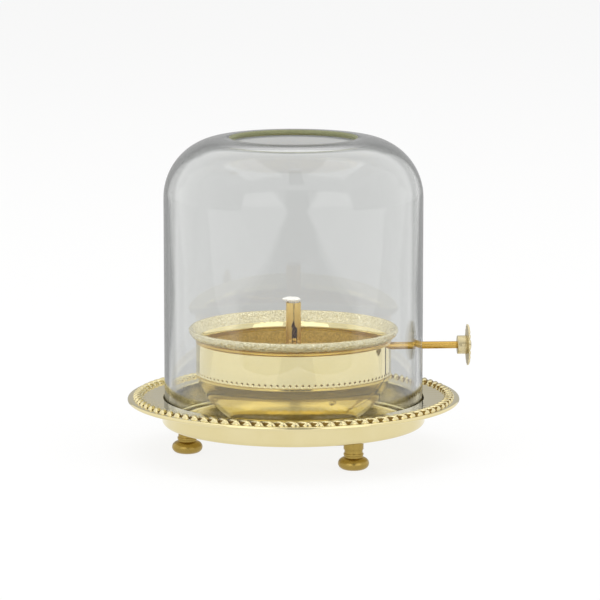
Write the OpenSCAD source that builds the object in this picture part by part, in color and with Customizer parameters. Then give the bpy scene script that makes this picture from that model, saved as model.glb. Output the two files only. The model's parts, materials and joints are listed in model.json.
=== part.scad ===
// Akhand diya: a brass oil lamp that is kept burning under a glass dome.
// The oil bowl is clamped to a footed tray, and a side knob turns a toothed wheel that feeds the wick up.
// Millimetres, +Z up, origin on the standing surface below the wick tube, spindle along +X.

/* [Glass dome] */
// Outside diameter of the dome
dome_d = 118.2; // [112:0.2:130]
// Height of the dome
dome_h = 130.7; // [110:0.1:150]
// Thickness of the glass
glass_t = 2.5; // [2:0.1:4]
// Outside radius of the rounded shoulder
shoulder_r = 27.5; // [15:0.5:35]
// Width of the flat ring between the shoulder and the vent in the top
vent_ring = 3.5; // [2.5:0.1:10]
// Width of the notch that lets the dome lift off past the spindle
notch_w = 9; // [6:0.5:14]

/* [Tray] */
// Thickness of the tray sheet
tray_sheet = 0.8; // [0.6:0.1:1.5]
// Depth of the well below the top of the flange
well_depth = 11.6; // [6:0.2:16]
// Width of the flange outside the well
flange_w = 15.7; // [11:0.1:24]
// Diameter of the roll along the rim's edge
rim_roll_d = 1.8; // [1.4:0.1:3]
// Distance from the rim's edge to the middle of the beaded border
border_inset = 4.8; // [3.6:0.1:7]
// Width of the border across its beads
border_w = 4.8; // [3:0.1:6]
// Number of slanted beads in the border
bead_count = 86; // [40:1:100]
// Height of the beads above the flange
bead_h = 1.8; // [0.6:0.1:2.4]
// Width of the cut between two beads
bead_gap = 0.9; // [0.5:0.1:1.5]
// Height above the flange where the cuts between beads stop
bead_foot = 0.1; // [0.05:0.05:0.4]
// Slant of the cuts from the radial line
bead_slant = 35; // [0:1:60]
// Distance of the raised ring on the floor inside the glass
ring_inset = 3.6; // [2.5:0.1:6]
// Diameter of the wire that the raised ring is half of
ring_w = 1.6; // [1:0.1:2.4]

/* [Feet] */
// Height of a foot
foot_h = 13.5; // [11:0.5:20]
// Distance between a foot's screw head and the raised ring
foot_inset = 0.65; // [0.3:0.05:8]
// Diameter of the bun at the bottom of a foot
bun_d = 14; // [11:0.5:17]
// Height of the bun
bun_h = 5.6; // [4:0.1:7]
// Diameter of the flat that a foot stands on
foot_flat_d = 7.4; // [5:0.2:9]
// Diameter of the stem above the bun
stem_d = 9; // [7:0.1:10]
// Depth of the turned groove round the stem
stem_groove = 0.4; // [0.2:0.1:0.8]
// Width of the turned groove
stem_groove_w = 1.8; // [1:0.1:2.4]

/* [Bowl] */
// Outside diameter of the bowl's wall
bowl_d = 89.4; // [70:0.2:104]
// Height of the bowl
bowl_h = 43.9; // [36:0.1:54]
// Thickness of the wall
bowl_wall = 1.8; // [1.2:0.1:2.4]
// Distance that the lip flares out past the wall
lip_flare = 3; // [1:0.1:5]
// Height of the lip above the neck
lip_h = 5.4; // [4:0.1:7]
// Thickness of the lip's edge
lip_edge = 0.9; // [0.6:0.1:1.4]
// Bulge of the flared lip
lip_bulge = 0.9; // [0.4:0.1:1.4]
// Depth of the groove round the neck
neck_groove = 0.5; // [0.2:0.1:0.8]
// Width of the groove round the neck
neck_groove_w = 1; // [0.6:0.1:1.6]
// Height of the roll inside the neck
neck_roll_h = 2.4; // [1.6:0.1:4]
// Bulge of the roll inside the neck
neck_roll = 0.3; // [0.1:0.05:0.5]
// Diameter of the flat base
base_d = 50; // [38:0.5:60]
// Thickness of the base
base_t = 2; // [1.5:0.1:3]
// Distance of the crease below the shoulder inside the wall
crease_in = 4.8; // [3:0.1:7]
// Height of the crease above the base
crease_h = 11.7; // [8:0.1:15]
// Height of the shoulder from the crease to the wall
shoulder_rise = 12.5; // [8:0.1:15]
// Bulge of the lower bowl
lower_bulge = 1.2; // [0.6:0.1:2.4]

/* [Wick and tube] */
// Outside diameter of the wick tube
tube_d = 6.8; // [5.4:0.1:9]
// Wall of the wick tube
tube_wall = 0.6; // [0.4:0.1:0.8]
// Height of the tube's top above the lip
tube_rise = 11.3; // [6:0.1:20]
// Length of the slot below the wheel
slot_below = 2; // [1:0.1:3]
// Length of the slot above the wheel
slot_above = 4; // [1:0.1:6]
// Length of the point in which the slot ends
slot_taper = 3; // [1:0.1:5]
// Diameter of the holes that let the oil into the tube
feed_hole_d = 3; // [2:0.1:3.6]
// Height of the wick's tip above the tube
wick_tip = 2.4; // [1.8:0.1:5]
// Bevel round the wick's tip
wick_bevel = 0.8; // [0.3:0.1:1.2]
// Room below the wick for winding it down
wick_down = 3; // [2.5:0.1:6]
// Wall of the socket round the tube
socket_wall = 2.1; // [1.5:0.1:4]
// Depth of the socket that holds the tube
socket_depth = 5.5; // [4:0.1:8]
// Thickness of the web between the tube and the clamp screw
socket_web = 1.5; // [1:0.1:3]

/* [Winder] */
// Diameter of the spindle
spindle_d = 3.3; // [2.6:0.1:4]
// Distance of the spindle's axis below the top of the lip
spindle_drop = 8.2; // [6.5:0.1:11]
// Length of the spindle past the bracket
spindle_past = 1; // [0.5:0.1:3]
// Diameter over the teeth of the winder wheel
wheel_d = 7.8; // [6.2:0.1:11]
// Width of the winder wheel
wheel_w = 1.6; // [1.2:0.1:3]
// Number of teeth
wheel_teeth = 12; // [9:1:18]
// Height of a tooth
tooth_h = 0.9; // [0.5:0.1:1.1]
// Thickness of the bracket's strip
bracket_t = 1.2; // [0.8:0.1:2]
// Width of the bracket round the spindle's hole
cheek_edge = 0.8; // [0.6:0.1:2]
// Wall of the bush that carries the spindle
bush_wall = 1.2; // [0.8:0.1:2]
// Length of the bush
bush_len = 6; // [4:0.5:12]
// Distance of the knob's hub outside the glass
knob_stand = 15.4; // [12:0.1:30]
// Diameter of the hub
hub_d = 8.4; // [6.6:0.1:12]
// Length of the hub
hub_len = 4.2; // [3.2:0.1:8]
// Diameter of the rosette
rosette_d = 18.9; // [14:0.1:30]
// Thickness of the rosette
rosette_t = 1.3; // [0.8:0.1:2.5]
// Number of lobes round the rosette
rosette_lobes = 20; // [10:1:24]
// Diameter of a lobe
lobe_d = 2.8; // [2:0.1:4]

/* [Fasteners] */
// Diameter of the clamp screw that holds tray, bowl and wick socket together
clamp_d = 5; // [4:0.5:6]
// Diameter of the clamp screw's head
clamp_head_d = 9; // [8:0.5:12]
// Height of the clamp screw's head
clamp_head_h = 2.5; // [1.5:0.1:4]
// Length of the clamp screw in the wick socket
clamp_grip = 6; // [4:0.5:8]
// Diameter of the washer under the clamp screw's head
clamp_washer_d = 14; // [12:0.5:20]
// Thickness of the washer under the clamp screw's head
clamp_washer_t = 1; // [0.5:0.1:2]
// Diameter of the seal inside the bowl
seal_d = 16; // [13:0.5:22]
// Thickness of the seal inside the bowl
seal_t = 0.8; // [0.5:0.1:2]
// Diameter of a foot's screw
foot_screw_d = 3; // [2.4:0.1:4]
// Length of a foot's screw below its head
foot_screw_len = 8; // [5:0.5:9.5]
// Diameter of a foot screw's head
foot_screw_head_d = 5.5; // [4.4:0.1:7]
// Height of a foot screw's head
foot_screw_head_h = 1.6; // [1:0.1:2.5]
// Diameter of the grub screw in the hub
grub_d = 2; // [1.6:0.1:2.5]
// Depth of the grub screw's end below the hub's surface
grub_sunk = 0.1; // [0.05:0.05:0.5]
// Diameter of the screw that holds the rosette
knob_screw_d = 2; // [1.6:0.1:2.2]
// Depth of that screw in the end of the spindle
knob_screw_len = 5; // [3:0.5:8]
// Diameter of that screw's head
knob_screw_head_d = 5; // [4:0.1:7]
// Height of that screw's head
knob_screw_head_h = 1; // [0.6:0.1:2]

/* [Clearances] */
// Gap between pieces that are brazed, pressed or screwed together
seat_gap = 0.05; // [0.02:0.01:0.1]
// Gap between a shaft and the bearing that it turns in
run_gap = 0.05; // [0.02:0.01:0.1]
// Gap round the clamp screw in tray, bowl and washers
clamp_clear = 0.2; // [0.1:0.05:0.5]
// Gap round the spindle where it passes through the bowl's wall
wall_clear = 0.25; // [0.1:0.05:0.6]
// Gap between the dome and the wall of the well
dome_clear = 0.4; // [0.3:0.1:2]
// Gap below the dome where it stands in the well
dome_seat = 0.2; // [0.1:0.05:0.5]
// Gap between the wick and the tube
wick_clear = 0.3; // [0.2:0.05:0.5]
// Gap between the wheel's teeth and the wick
wheel_clear = 0.3; // [0.2:0.05:0.5]
// Gap between the wheel and each side of the slot
slot_clear = 0.4; // [0.3:0.05:0.6]
// Gap between the wheel and each cheek of the bracket
cheek_clear = 0.3; // [0.2:0.05:0.6]

/* [Hidden] */
$fn = 96;
// Number of steps in the arc of an outline
arc_steps = 10;
// Cuts run this far past the faces that they open
over = 1;

// The tray: the well fits the dome, and its corner follows the rounded edge of the glass
dome_r = dome_d / 2;
floor_bottom = foot_h;
floor_top = floor_bottom + tray_sheet;
flange_top = floor_top + well_depth;
well_corner_in = glass_t / 2;
well_corner_out = well_corner_in + tray_sheet;
well_in = dome_r + dome_clear;
well_out = well_in + tray_sheet;
rim_r = well_out + flange_w;
rim_roll_r = rim_roll_d / 2;
// Angle on the roll where the flange's underside meets it
roll_start = -180 - asin((rim_roll_r - tray_sheet) / rim_roll_r);
border_r = rim_r - border_inset;
// The beads are cut from a half-round moulding with an arc of this radius
border_arc_r = (border_w * border_w / 4 + bead_h * bead_h) / (2 * bead_h);
ring_r = dome_r - glass_t - ring_inset;

// The feet stand just inside the raised ring
foot_r = ring_r - ring_w / 2 - foot_inset - foot_screw_head_d / 2;
foot_angles = [180, -60, 60];

// The bowl, with heights above its base
bowl_z = floor_top;
lip_top = bowl_z + bowl_h;
wall_r = bowl_d / 2;
wall_in = wall_r - bowl_wall;
lip_r = wall_r + lip_flare;
neck_h = bowl_h - lip_h;
base_r = base_d / 2;
crease_r = wall_r - crease_in;
// The shoulder is an arc that runs smoothly into the wall and ends at the crease
shoulder_h = crease_h + shoulder_rise;
shoulder_arc_r = (crease_in * crease_in + shoulder_rise * shoulder_rise) / (2 * crease_in);
shoulder_angle = asin(shoulder_rise / shoulder_arc_r);

// The socket stands on the seal and carries the tube
clamp_hole_d = clamp_d + 2 * clamp_clear;
socket_z = bowl_z + base_t + seal_t;
socket_d = tube_d + 2 * socket_wall;
socket_h = clamp_grip + socket_web + socket_depth;
tube_z = socket_z + clamp_grip + socket_web;
tube_top = lip_top + tube_rise;
tube_r = tube_d / 2;
tube_in = tube_r - tube_wall;
feed_hole_z = socket_z + socket_h + feed_hole_d;
wick_r = tube_in - wick_clear;
wick_z = tube_z + wick_down;
wick_top = tube_top + wick_tip;

// The spindle passes in front of the tube, so that the wheel meets the wick through the slot
wheel_r = wheel_d / 2;
spindle_r = spindle_d / 2;
spindle_y = -(wick_r + wheel_clear + wheel_r);
spindle_z = lip_top - spindle_drop;
bearing_d = spindle_d + 2 * run_gap;
slot_w = wheel_w + 2 * slot_clear;
slot_bottom = spindle_z - wheel_r - slot_below;
slot_top = spindle_z + wheel_r + slot_above;

// The bracket is a strip folded to a U round the wheel
cheek_x = wheel_w / 2 + cheek_clear;
cheek_front = spindle_y - spindle_r - cheek_edge;
cheek_back = -tube_in / 2;
cheek_top = spindle_z + spindle_r + cheek_edge;
web_top = spindle_z - wheel_r - wheel_clear;
web_bottom = web_top - bracket_t;
spindle_start = -(cheek_x + bracket_t + spindle_past);

// The bush ends clear of the roll inside the bowl's neck
bush_start = wall_in - bush_len;
bush_end_r = wall_in - neck_roll;

// The knob
knob_x = dome_r + knob_stand;
hub_end = knob_x + hub_len;
grub_x = knob_x + hub_len / 2;
rosette_end = hub_end + rosette_t;

brass = [0.86, 0.77, 0.47];
golden = [0.80, 0.66, 0.35];
satin = [0.66, 0.55, 0.28];
glass = [0.82, 0.84, 0.83, 0.35];
cotton = [0.95, 0.94, 0.91];
steel = [0.62, 0.63, 0.64];
black_rubber = [0.13, 0.13, 0.13];

// Points of an arc about a centre, from one angle to another
function arc(centre, r, from, to) =
    [for (i = [0:arc_steps]) let (a = from + (to - from) * i / arc_steps) centre + r * [cos(a), sin(a)]];

// Points of an arc from p to q that bulges to the right of the way from p to q
function bulge(p, q, rise) =
    let (
        chord = q - p,
        half = norm(chord) / 2,
        r = (half * half + rise * rise) / (2 * rise),
        left = [-chord[1], chord[0]] / (2 * half),
        centre = (p + q) / 2 + (r - rise) * left,
        start = atan2(p[1] - centre[1], p[0] - centre[0]),
        sweep = 4 * atan(rise / half)
    )
    arc(centre, r, start, start + sweep);

// A list of points in the opposite order
function reversed(points) = [for (i = [len(points) - 1:-1:0]) points[i]];

// A cylinder along +X
module rod_x(d, from, to) {
    translate([from, 0, 0])
        rotate([0, 90, 0])
            cylinder(h = to - from, d = d);
}

// Moves its children onto the spindle's axis
module at_spindle() {
    translate([0, spindle_y, spindle_z])
        children();
}

// Copies its children to the three feet
module at_feet() {
    for (a = foot_angles)
        rotate([0, 0, a])
            translate([foot_r, 0, 0])
                children();
}

// The half-round moulding on the flange, cut into slanted beads
module border() {
    translate([0, 0, flange_top])
        difference() {
            rotate_extrude()
                translate([border_r, 0])
                    intersection() {
                        translate([0, bead_h - border_arc_r])
                            circle(r = border_arc_r);
                        translate([-border_w, -tray_sheet / 2])
                            square([2 * border_w, bead_h + tray_sheet]);
                    }
            for (i = [0:bead_count - 1])
                rotate([0, 0, i * 360 / bead_count])
                    translate([border_r, 0, 0])
                        rotate([0, 0, bead_slant])
                            translate([-border_w, -bead_gap / 2, bead_foot])
                                cube([2 * border_w, bead_gap, bead_h + over]);
        }
}

// The pressed sheet: floor, well, flange and rolled edge, with the raised ring on the floor
module tray() {
    corner = [well_in - well_corner_in, floor_top + well_corner_in];
    color(brass)
        difference() {
            union() {
                rotate_extrude()
                    polygon(concat(
                        [[0, floor_bottom]],
                        arc(corner, well_corner_out, -90, 0),
                        [[well_out, flange_top - tray_sheet]],
                        arc([rim_r - rim_roll_r, flange_top - rim_roll_r], rim_roll_r, roll_start, 90),
                        [[well_in, flange_top]],
                        arc(corner, well_corner_in, 0, -90),
                        arc([ring_r, floor_top], ring_w / 2, 0, 180),
                        [[0, floor_top]]));
                border();
            }
            translate([0, 0, floor_bottom - over])
                cylinder(h = tray_sheet + 2 * over, d = clamp_hole_d);
            at_feet()
                translate([0, 0, floor_bottom - over])
                    cylinder(h = tray_sheet + 2 * over, d = foot_screw_d + 2 * seat_gap);
        }
}

// A turned foot with its tapped hole, standing at an angle round the tray
module foot(angle) {
    stem_r = stem_d / 2;
    neck_r = stem_r - stem_groove / 2;
    flat_r = foot_flat_d / 2;
    bun_bulge = bun_d / 2 - flat_r;
    bun_end = acos((neck_r - flat_r) / bun_bulge);
    ring_z = bun_h + stem_groove_w / 2;
    groove_z = ring_z + stem_groove_w / 2;
    bun = [for (a = arc([0, 0], 1, -90, bun_end)) [flat_r + bun_bulge * a[0], bun_h / 2 * (1 + a[1])]];
    color(satin)
        rotate([0, 0, angle])
            translate([foot_r, 0, 0])
                difference() {
                    rotate_extrude()
                        polygon(concat(
                            [[0, 0]],
                            bun,
                            [[neck_r, ring_z], [stem_r, ring_z],
                             [stem_r, groove_z], [stem_r - stem_groove, groove_z],
                             [stem_r - stem_groove, groove_z + stem_groove_w],
                             [stem_r, groove_z + stem_groove_w], [stem_r, foot_h], [0, foot_h]]));
                    translate([0, 0, floor_top - foot_screw_len - over])
                        cylinder(h = foot_screw_len + 2 * over, d = foot_screw_d + 2 * seat_gap);
                }
}

module foot_left() {
    foot(foot_angles[0]);
}

module foot_front() {
    foot(foot_angles[1]);
}

module foot_rear() {
    foot(foot_angles[2]);
}

module foot_screws() {
    color(brass)
        at_feet()
            translate([0, 0, floor_top]) {
                cylinder(h = foot_screw_head_h, d = foot_screw_head_d);
                translate([0, 0, -foot_screw_len])
                    cylinder(h = foot_screw_len, d = foot_screw_d);
            }
}

// The cast and turned bowl, outside from the base up and inside back down
module bowl() {
    lip_foot = [wall_r, neck_h + neck_groove_w / 2];
    roll_top = [wall_r - lip_edge, neck_h + neck_groove_w / 2];
    roll_foot = [wall_in, neck_h - neck_roll_h];
    inner_arc_r = shoulder_arc_r - bowl_wall;
    arc_centre = [wall_r - shoulder_arc_r, shoulder_h];
    inner_crease = arc_centre + inner_arc_r * [cos(shoulder_angle), -sin(shoulder_angle)];
    color(brass)
        difference() {
            translate([0, 0, bowl_z])
                rotate_extrude()
                    polygon(concat(
                        [[0, 0]],
                        bulge([base_r, 0], [crease_r, crease_h], lower_bulge),
                        arc(arc_centre, shoulder_arc_r, -shoulder_angle, 0),
                        [[wall_r, neck_h - neck_groove_w / 2], [wall_r - neck_groove, neck_h]],
                        bulge(lip_foot, [lip_r, bowl_h - lip_edge / 2], lip_bulge),
                        [[lip_r - lip_edge / 2, bowl_h], [lip_r - lip_edge, bowl_h]],
                        bulge(roll_top, roll_foot, neck_roll),
                        [[wall_in, shoulder_h]],
                        arc(arc_centre, inner_arc_r, 0, -shoulder_angle),
                        reversed(bulge([base_r - bowl_wall, base_t], inner_crease, lower_bulge)),
                        [[0, base_t]]));
            translate([0, 0, bowl_z - over])
                cylinder(h = base_t + 2 * over, d = clamp_hole_d);
            at_spindle()
                rod_x(spindle_d + 2 * wall_clear, bush_start, wall_r + over);
        }
}

module clamp_screw() {
    shank_z = floor_bottom - clamp_washer_t;
    color(steel)
        translate([0, 0, shank_z]) {
            translate([0, 0, -clamp_head_h])
                cylinder(h = clamp_head_h, d = clamp_head_d);
            cylinder(h = socket_z + clamp_grip - seat_gap - shank_z, d = clamp_d);
        }
}

// A flat washer on the lamp's axis
module washer(z, t, d) {
    translate([0, 0, z])
        difference() {
            cylinder(h = t, d = d);
            translate([0, 0, -over])
                cylinder(h = t + 2 * over, d = clamp_hole_d);
        }
}

module clamp_washer() {
    color(steel)
        washer(floor_bottom - clamp_washer_t, clamp_washer_t, clamp_washer_d);
}

module seal_washer() {
    color(black_rubber)
        washer(bowl_z + base_t, seal_t, seal_d);
}

module wick_socket() {
    color(brass)
        translate([0, 0, socket_z])
            difference() {
                cylinder(h = socket_h, d = socket_d);
                translate([0, 0, -over])
                    cylinder(h = clamp_grip + over, d = clamp_d + 2 * seat_gap);
                translate([0, 0, socket_h - socket_depth])
                    cylinder(h = socket_depth + over, d = tube_d + 2 * seat_gap);
            }
}

// The rolled tube: a slot that narrows to its seam in front, and feed holes near the bottom
module wick_tube() {
    color(golden)
        difference() {
            translate([0, 0, tube_z])
                cylinder(h = tube_top - tube_z, d = tube_d);
            translate([0, 0, tube_z - over])
                cylinder(h = tube_top - tube_z + 2 * over, r = tube_in);
            translate([0, -tube_in / 2, 0])
                rotate([90, 0, 0])
                    linear_extrude(tube_r)
                        polygon([[-slot_w / 2, slot_bottom], [slot_w / 2, slot_bottom],
                            [slot_w / 2, slot_top], [0, slot_top + slot_taper], [-slot_w / 2, slot_top]]);
            translate([0, 0, feed_hole_z])
                rod_x(feed_hole_d, -tube_d, tube_d);
        }
}

module winder_bracket() {
    depth = cheek_back - cheek_front;
    color(golden)
        difference() {
            union() {
                for (left = [-cheek_x - bracket_t, cheek_x])
                    translate([left, cheek_front, web_bottom])
                        cube([bracket_t, depth, cheek_top - web_bottom]);
                translate([-cheek_x - bracket_t / 2, cheek_front, web_bottom])
                    cube([2 * cheek_x + bracket_t, depth, bracket_t]);
            }
            cylinder(h = tube_top, r = tube_r + seat_gap);
            at_spindle()
                rod_x(bearing_d, spindle_start, -spindle_start);
        }
}

module spindle_bush() {
    color(golden)
        difference() {
            intersection() {
                at_spindle()
                    rod_x(spindle_d + 2 * bush_wall, bush_start, wall_r);
                cylinder(h = lip_top, r = bush_end_r);
            }
            at_spindle()
                rod_x(bearing_d, bush_start - over, wall_r + over);
        }
}

module spindle() {
    color(golden)
        at_spindle()
            difference() {
                rod_x(spindle_d, spindle_start, hub_end);
                rod_x(knob_screw_d + 2 * seat_gap, hub_end - knob_screw_len, hub_end + over);
            }
}

module winder_wheel() {
    half_tooth = 180 / wheel_teeth;
    color(golden)
        at_spindle()
            translate([-wheel_w / 2, 0, 0])
                rotate([90, 0, 90])
                    linear_extrude(wheel_w)
                        difference() {
                            polygon([for (i = [0:2 * wheel_teeth - 1])
                                (wheel_r - (i % 2) * tooth_h) * [cos(i * half_tooth), sin(i * half_tooth)]]);
                            circle(d = spindle_d + 2 * seat_gap);
                        }
}

module knob_hub() {
    color(brass)
        at_spindle()
            difference() {
                rod_x(hub_d, knob_x, hub_end);
                rod_x(spindle_d + 2 * seat_gap, knob_x - over, hub_end + over);
                translate([grub_x, 0, 0])
                    cylinder(h = hub_d, d = grub_d + 2 * seat_gap);
            }
}

module hub_grub_screw() {
    grub_foot = spindle_r + seat_gap;
    color(steel)
        at_spindle()
            translate([grub_x, 0, grub_foot])
                cylinder(h = hub_d / 2 - grub_sunk - grub_foot, d = grub_d);
}

// A scalloped disc: lobes round a plate
module knob_rosette() {
    lobe_r = (rosette_d - lobe_d) / 2;
    color(brass)
        at_spindle()
            difference() {
                union() {
                    rod_x(2 * lobe_r, hub_end, rosette_end);
                    for (i = [0:rosette_lobes - 1])
                        rotate([i * 360 / rosette_lobes, 0, 0])
                            translate([0, 0, lobe_r])
                                rod_x(lobe_d, hub_end, rosette_end, $fn = 32);
                }
                rod_x(knob_screw_d + 2 * seat_gap, hub_end - over, rosette_end + over);
            }
}

module knob_screw() {
    color(brass)
        at_spindle() {
            rod_x(knob_screw_head_d, rosette_end, rosette_end + knob_screw_head_h);
            rod_x(knob_screw_d, hub_end - knob_screw_len + seat_gap, rosette_end + knob_screw_head_h / 2);
        }
}

module wick() {
    bevel_z = wick_top - wick_bevel;
    color(cotton) {
        translate([0, 0, wick_z])
            cylinder(h = bevel_z - wick_z, r = wick_r);
        translate([0, 0, bevel_z])
            cylinder(h = wick_bevel, r1 = wick_r, r2 = wick_r - wick_bevel);
    }
}

// A bell open at the bottom and at the vent, with a notch for the spindle
module glass_dome() {
    edge_r = glass_t / 2;
    arc_centre = [dome_r - shoulder_r, dome_h - shoulder_r];
    vent_r = dome_r - shoulder_r - vent_ring;
    notch_x = dome_r - glass_t - notch_w;
    color(glass)
        difference() {
            translate([0, 0, floor_top + dome_seat])
                rotate_extrude()
                    polygon(concat(
                        arc([dome_r - edge_r, edge_r], edge_r, -180, 0),
                        arc(arc_centre, shoulder_r, 0, 90),
                        arc([vent_r + edge_r, dome_h - edge_r], edge_r, 90, 270),
                        arc(arc_centre, shoulder_r - glass_t, 90, 0)));
            at_spindle() {
                rod_x(notch_w, notch_x, dome_r + over);
                translate([notch_x, -notch_w / 2, -spindle_z])
                    cube([dome_r + over - notch_x, notch_w, spindle_z]);
            }
        }
}

tray();
foot_left();
foot_front();
foot_rear();
foot_screws();
bowl();
clamp_screw();
clamp_washer();
seal_washer();
wick_socket();
wick_tube();
winder_bracket();
spindle_bush();
spindle();
winder_wheel();
knob_hub();
hub_grub_screw();
knob_rosette();
knob_screw();
wick();
glass_dome();
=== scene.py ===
"""Looks of an akhand diya, a brass oil lamp that is kept burning under a glass dome.

Lengths are in metres, in the part's own frame: +Z up, the spindle along +X, and the origin on the table
below the wick tube. Sizes that the frame holds are read from it, and the rest are fields of the classes.
"""

import json
import logging
import math
from collections.abc import Sequence
from dataclasses import dataclass
from enum import Enum

import bpy
import numpy as np
from mathutils import Matrix, Vector


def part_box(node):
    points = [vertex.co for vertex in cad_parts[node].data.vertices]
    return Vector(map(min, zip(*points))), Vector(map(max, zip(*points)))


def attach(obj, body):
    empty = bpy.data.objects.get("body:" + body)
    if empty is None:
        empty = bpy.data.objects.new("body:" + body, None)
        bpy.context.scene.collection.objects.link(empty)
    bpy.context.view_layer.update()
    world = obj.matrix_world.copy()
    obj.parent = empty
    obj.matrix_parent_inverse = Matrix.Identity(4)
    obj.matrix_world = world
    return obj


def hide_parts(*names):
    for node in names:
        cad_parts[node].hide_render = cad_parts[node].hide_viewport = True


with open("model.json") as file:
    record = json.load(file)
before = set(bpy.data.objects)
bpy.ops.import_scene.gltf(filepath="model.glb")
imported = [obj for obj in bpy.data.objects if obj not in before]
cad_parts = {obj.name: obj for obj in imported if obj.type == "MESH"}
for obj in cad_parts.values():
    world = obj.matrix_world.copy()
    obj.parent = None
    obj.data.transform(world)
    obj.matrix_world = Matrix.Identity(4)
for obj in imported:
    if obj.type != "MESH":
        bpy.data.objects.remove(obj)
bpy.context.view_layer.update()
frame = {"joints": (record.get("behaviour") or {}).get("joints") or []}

LOG = logging.getLogger("akhand_diya")
MM = 0.001
MICRON = 1e-6
TAU = 2 * math.pi
# Keeps a length that is divided by away from zero
TINY = 1e-12
# Steps round a small turned piece
ROUND = 64
# Steps round a screw and the spindle's hole
SCREW_ROUND = 48
# A direction that no strand of the wick runs along
ASIDE = (0.31, 0.87, 0.12)
# Turns Z to X, X to Y and Y to Z
Z_TO_X = Matrix(((0, 0, 1, 0), (1, 0, 0, 0), (0, 1, 0, 0), (0, 0, 0, 1)))
# Swaps X and Y
X_FOR_Y = Matrix(((0, 1, 0, 0), (1, 0, 0, 0), (0, 0, 1, 0), (0, 0, 0, 1)))
# The mix node's sockets for colours
MIX_SHARE = 0
MIX_FIRST = 6
MIX_SECOND = 7
MIX_RESULT = 2
Point = tuple[float, float]
Corner = tuple[float, float, float]


class Body(Enum):
    """The bodies that pieces ride on."""

    BASE = "base"
    WINDER = "winder"
    WICK = "wick"
    DOME = "dome"


class Slot(Enum):
    """The record's material slots."""

    POLISHED = "polished_brass"
    TURNED = "turned_brass"
    DRAWN = "drawn_brass"
    GLASS = "clear_glass"
    COTTON = "wick_cotton"
    STEEL = "steel"
    RUBBER = "seal_rubber"


class Axis(Enum):
    """The way that a piece was drawn or turned."""

    X = 0
    Z = 2


class Edge(Enum):
    """The angle in degrees above which an edge stays sharp, by kind of piece."""

    PLAIN = 35.0
    ROUNDED = 50.0
    EMBOSSED = 60.0


# Outlines


def arc(centre: Point, radius: float, start: float, stop: float, steps: int = 12) -> list[Point]:
    """Points of an arc in the plane of radius and height.

    Args:
        centre: Middle of the arc.
        radius: Radius of the arc.
        start: First angle in degrees.
        stop: Last angle in degrees.
        steps: Number of chords.

    Returns:
        The points from start to stop.
    """
    angles = np.radians(np.linspace(start, stop, steps + 1))
    return [(centre[0] + radius * math.cos(a), centre[1] + radius * math.sin(a)) for a in angles]


def bulge(start: Point, stop: Point, rise: float, steps: int = 12) -> list[Point]:
    """Points of an arc that bulges to the right of the way from start to stop.

    Args:
        start: First point.
        stop: Last point.
        rise: Height of the arc over its chord.
        steps: Number of chords.

    Returns:
        The points from start to stop.
    """
    chord = np.subtract(stop, start)
    half = float(np.hypot(*chord)) / 2
    radius = (half**2 + rise**2) / (2 * rise)
    left = np.array((-chord[1], chord[0])) / (2 * half)
    centre = np.add(start, stop) / 2 + (radius - rise) * left
    first = math.degrees(math.atan2(start[1] - centre[1], start[0] - centre[0]))
    sweep = math.degrees(4 * math.atan(rise / half))
    return arc((centre[0], centre[1]), radius, first, first + sweep, steps)


def line(start: Point, stop: Point, step: float) -> list[Point]:
    """Points of a straight stretch that are no further apart than step.

    Args:
        start: First point.
        stop: Last point.
        step: Longest distance between two points.

    Returns:
        The points from start to stop.
    """
    count = max(1, math.ceil(math.dist(start, stop) / step))
    return [tuple(np.add(start, np.subtract(stop, start) * i / count)) for i in range(count + 1)]


def rounded(corners: Sequence[Point], radius: float, steps: int = 4) -> list[Point]:
    """An outline with rounded corners between its two ends.

    Args:
        corners: The outline's corners.
        radius: Length that a corner's rounding takes from each side.
        steps: Number of chords in a corner.

    Returns:
        The ends and the points round each corner.
    """
    points = [tuple(corners[0])]
    for before, corner, after in zip(corners, corners[1:], corners[2:]):
        ends = []
        for other in (before, after):
            side = np.subtract(other, corner)
            length = float(np.hypot(*side))
            ends.append(np.add(corner, side * min(radius, length / 2) / length))
        for i in range(steps + 1):
            t = i / steps
            points.append(tuple((1 - t) ** 2 * ends[0] + 2 * t * (1 - t) * np.array(corner) + t**2 * ends[1]))
    points.append(tuple(corners[-1]))
    return points


def hollow(inner: float, outer: float, low: float, high: float) -> list[Point]:
    """The closed section of a washer or a bush."""
    return [(inner, low), (outer, low), (outer, high), (inner, high), (inner, low)]


def solid(outer: float, low: float, high: float) -> list[Point]:
    """The section of a plain bar, open towards the axis."""
    return [(outer / 2, low), (outer, low), (outer, high), (outer / 2, high)]


def oblong(left: float, right: float, low: float, high: float) -> list[Point]:
    """The corners of an oblong, anticlockwise."""
    return [(left, low), (right, low), (right, high), (left, high)]


def both_sides(outline: Sequence[Point]) -> list[Point]:
    """The right half of an outline, closed by its mirror image."""
    return [*outline, *((-x, y) for x, y in reversed(outline))]


def columns(outline: Sequence[Point]) -> tuple[np.ndarray, np.ndarray]:
    """An outline's radii and heights as columns, ready to vary round the turn."""
    table = np.array(outline, float)
    return table[:, :1], table[:, 1:]


def normals(radius: np.ndarray, height: np.ndarray) -> tuple[np.ndarray, np.ndarray]:
    """Outward directions along a closed outline that runs anticlockwise.

    Args:
        radius: Column of radii.
        height: Column of heights.

    Returns:
        The radial and upright parts, as columns.
    """
    along_r = np.roll(radius, -1) - np.roll(radius, 1)
    along_z = np.roll(height, -1) - np.roll(height, 1)
    length = np.hypot(along_r, along_z) + TINY
    return along_z / length, -along_r / length


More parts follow.
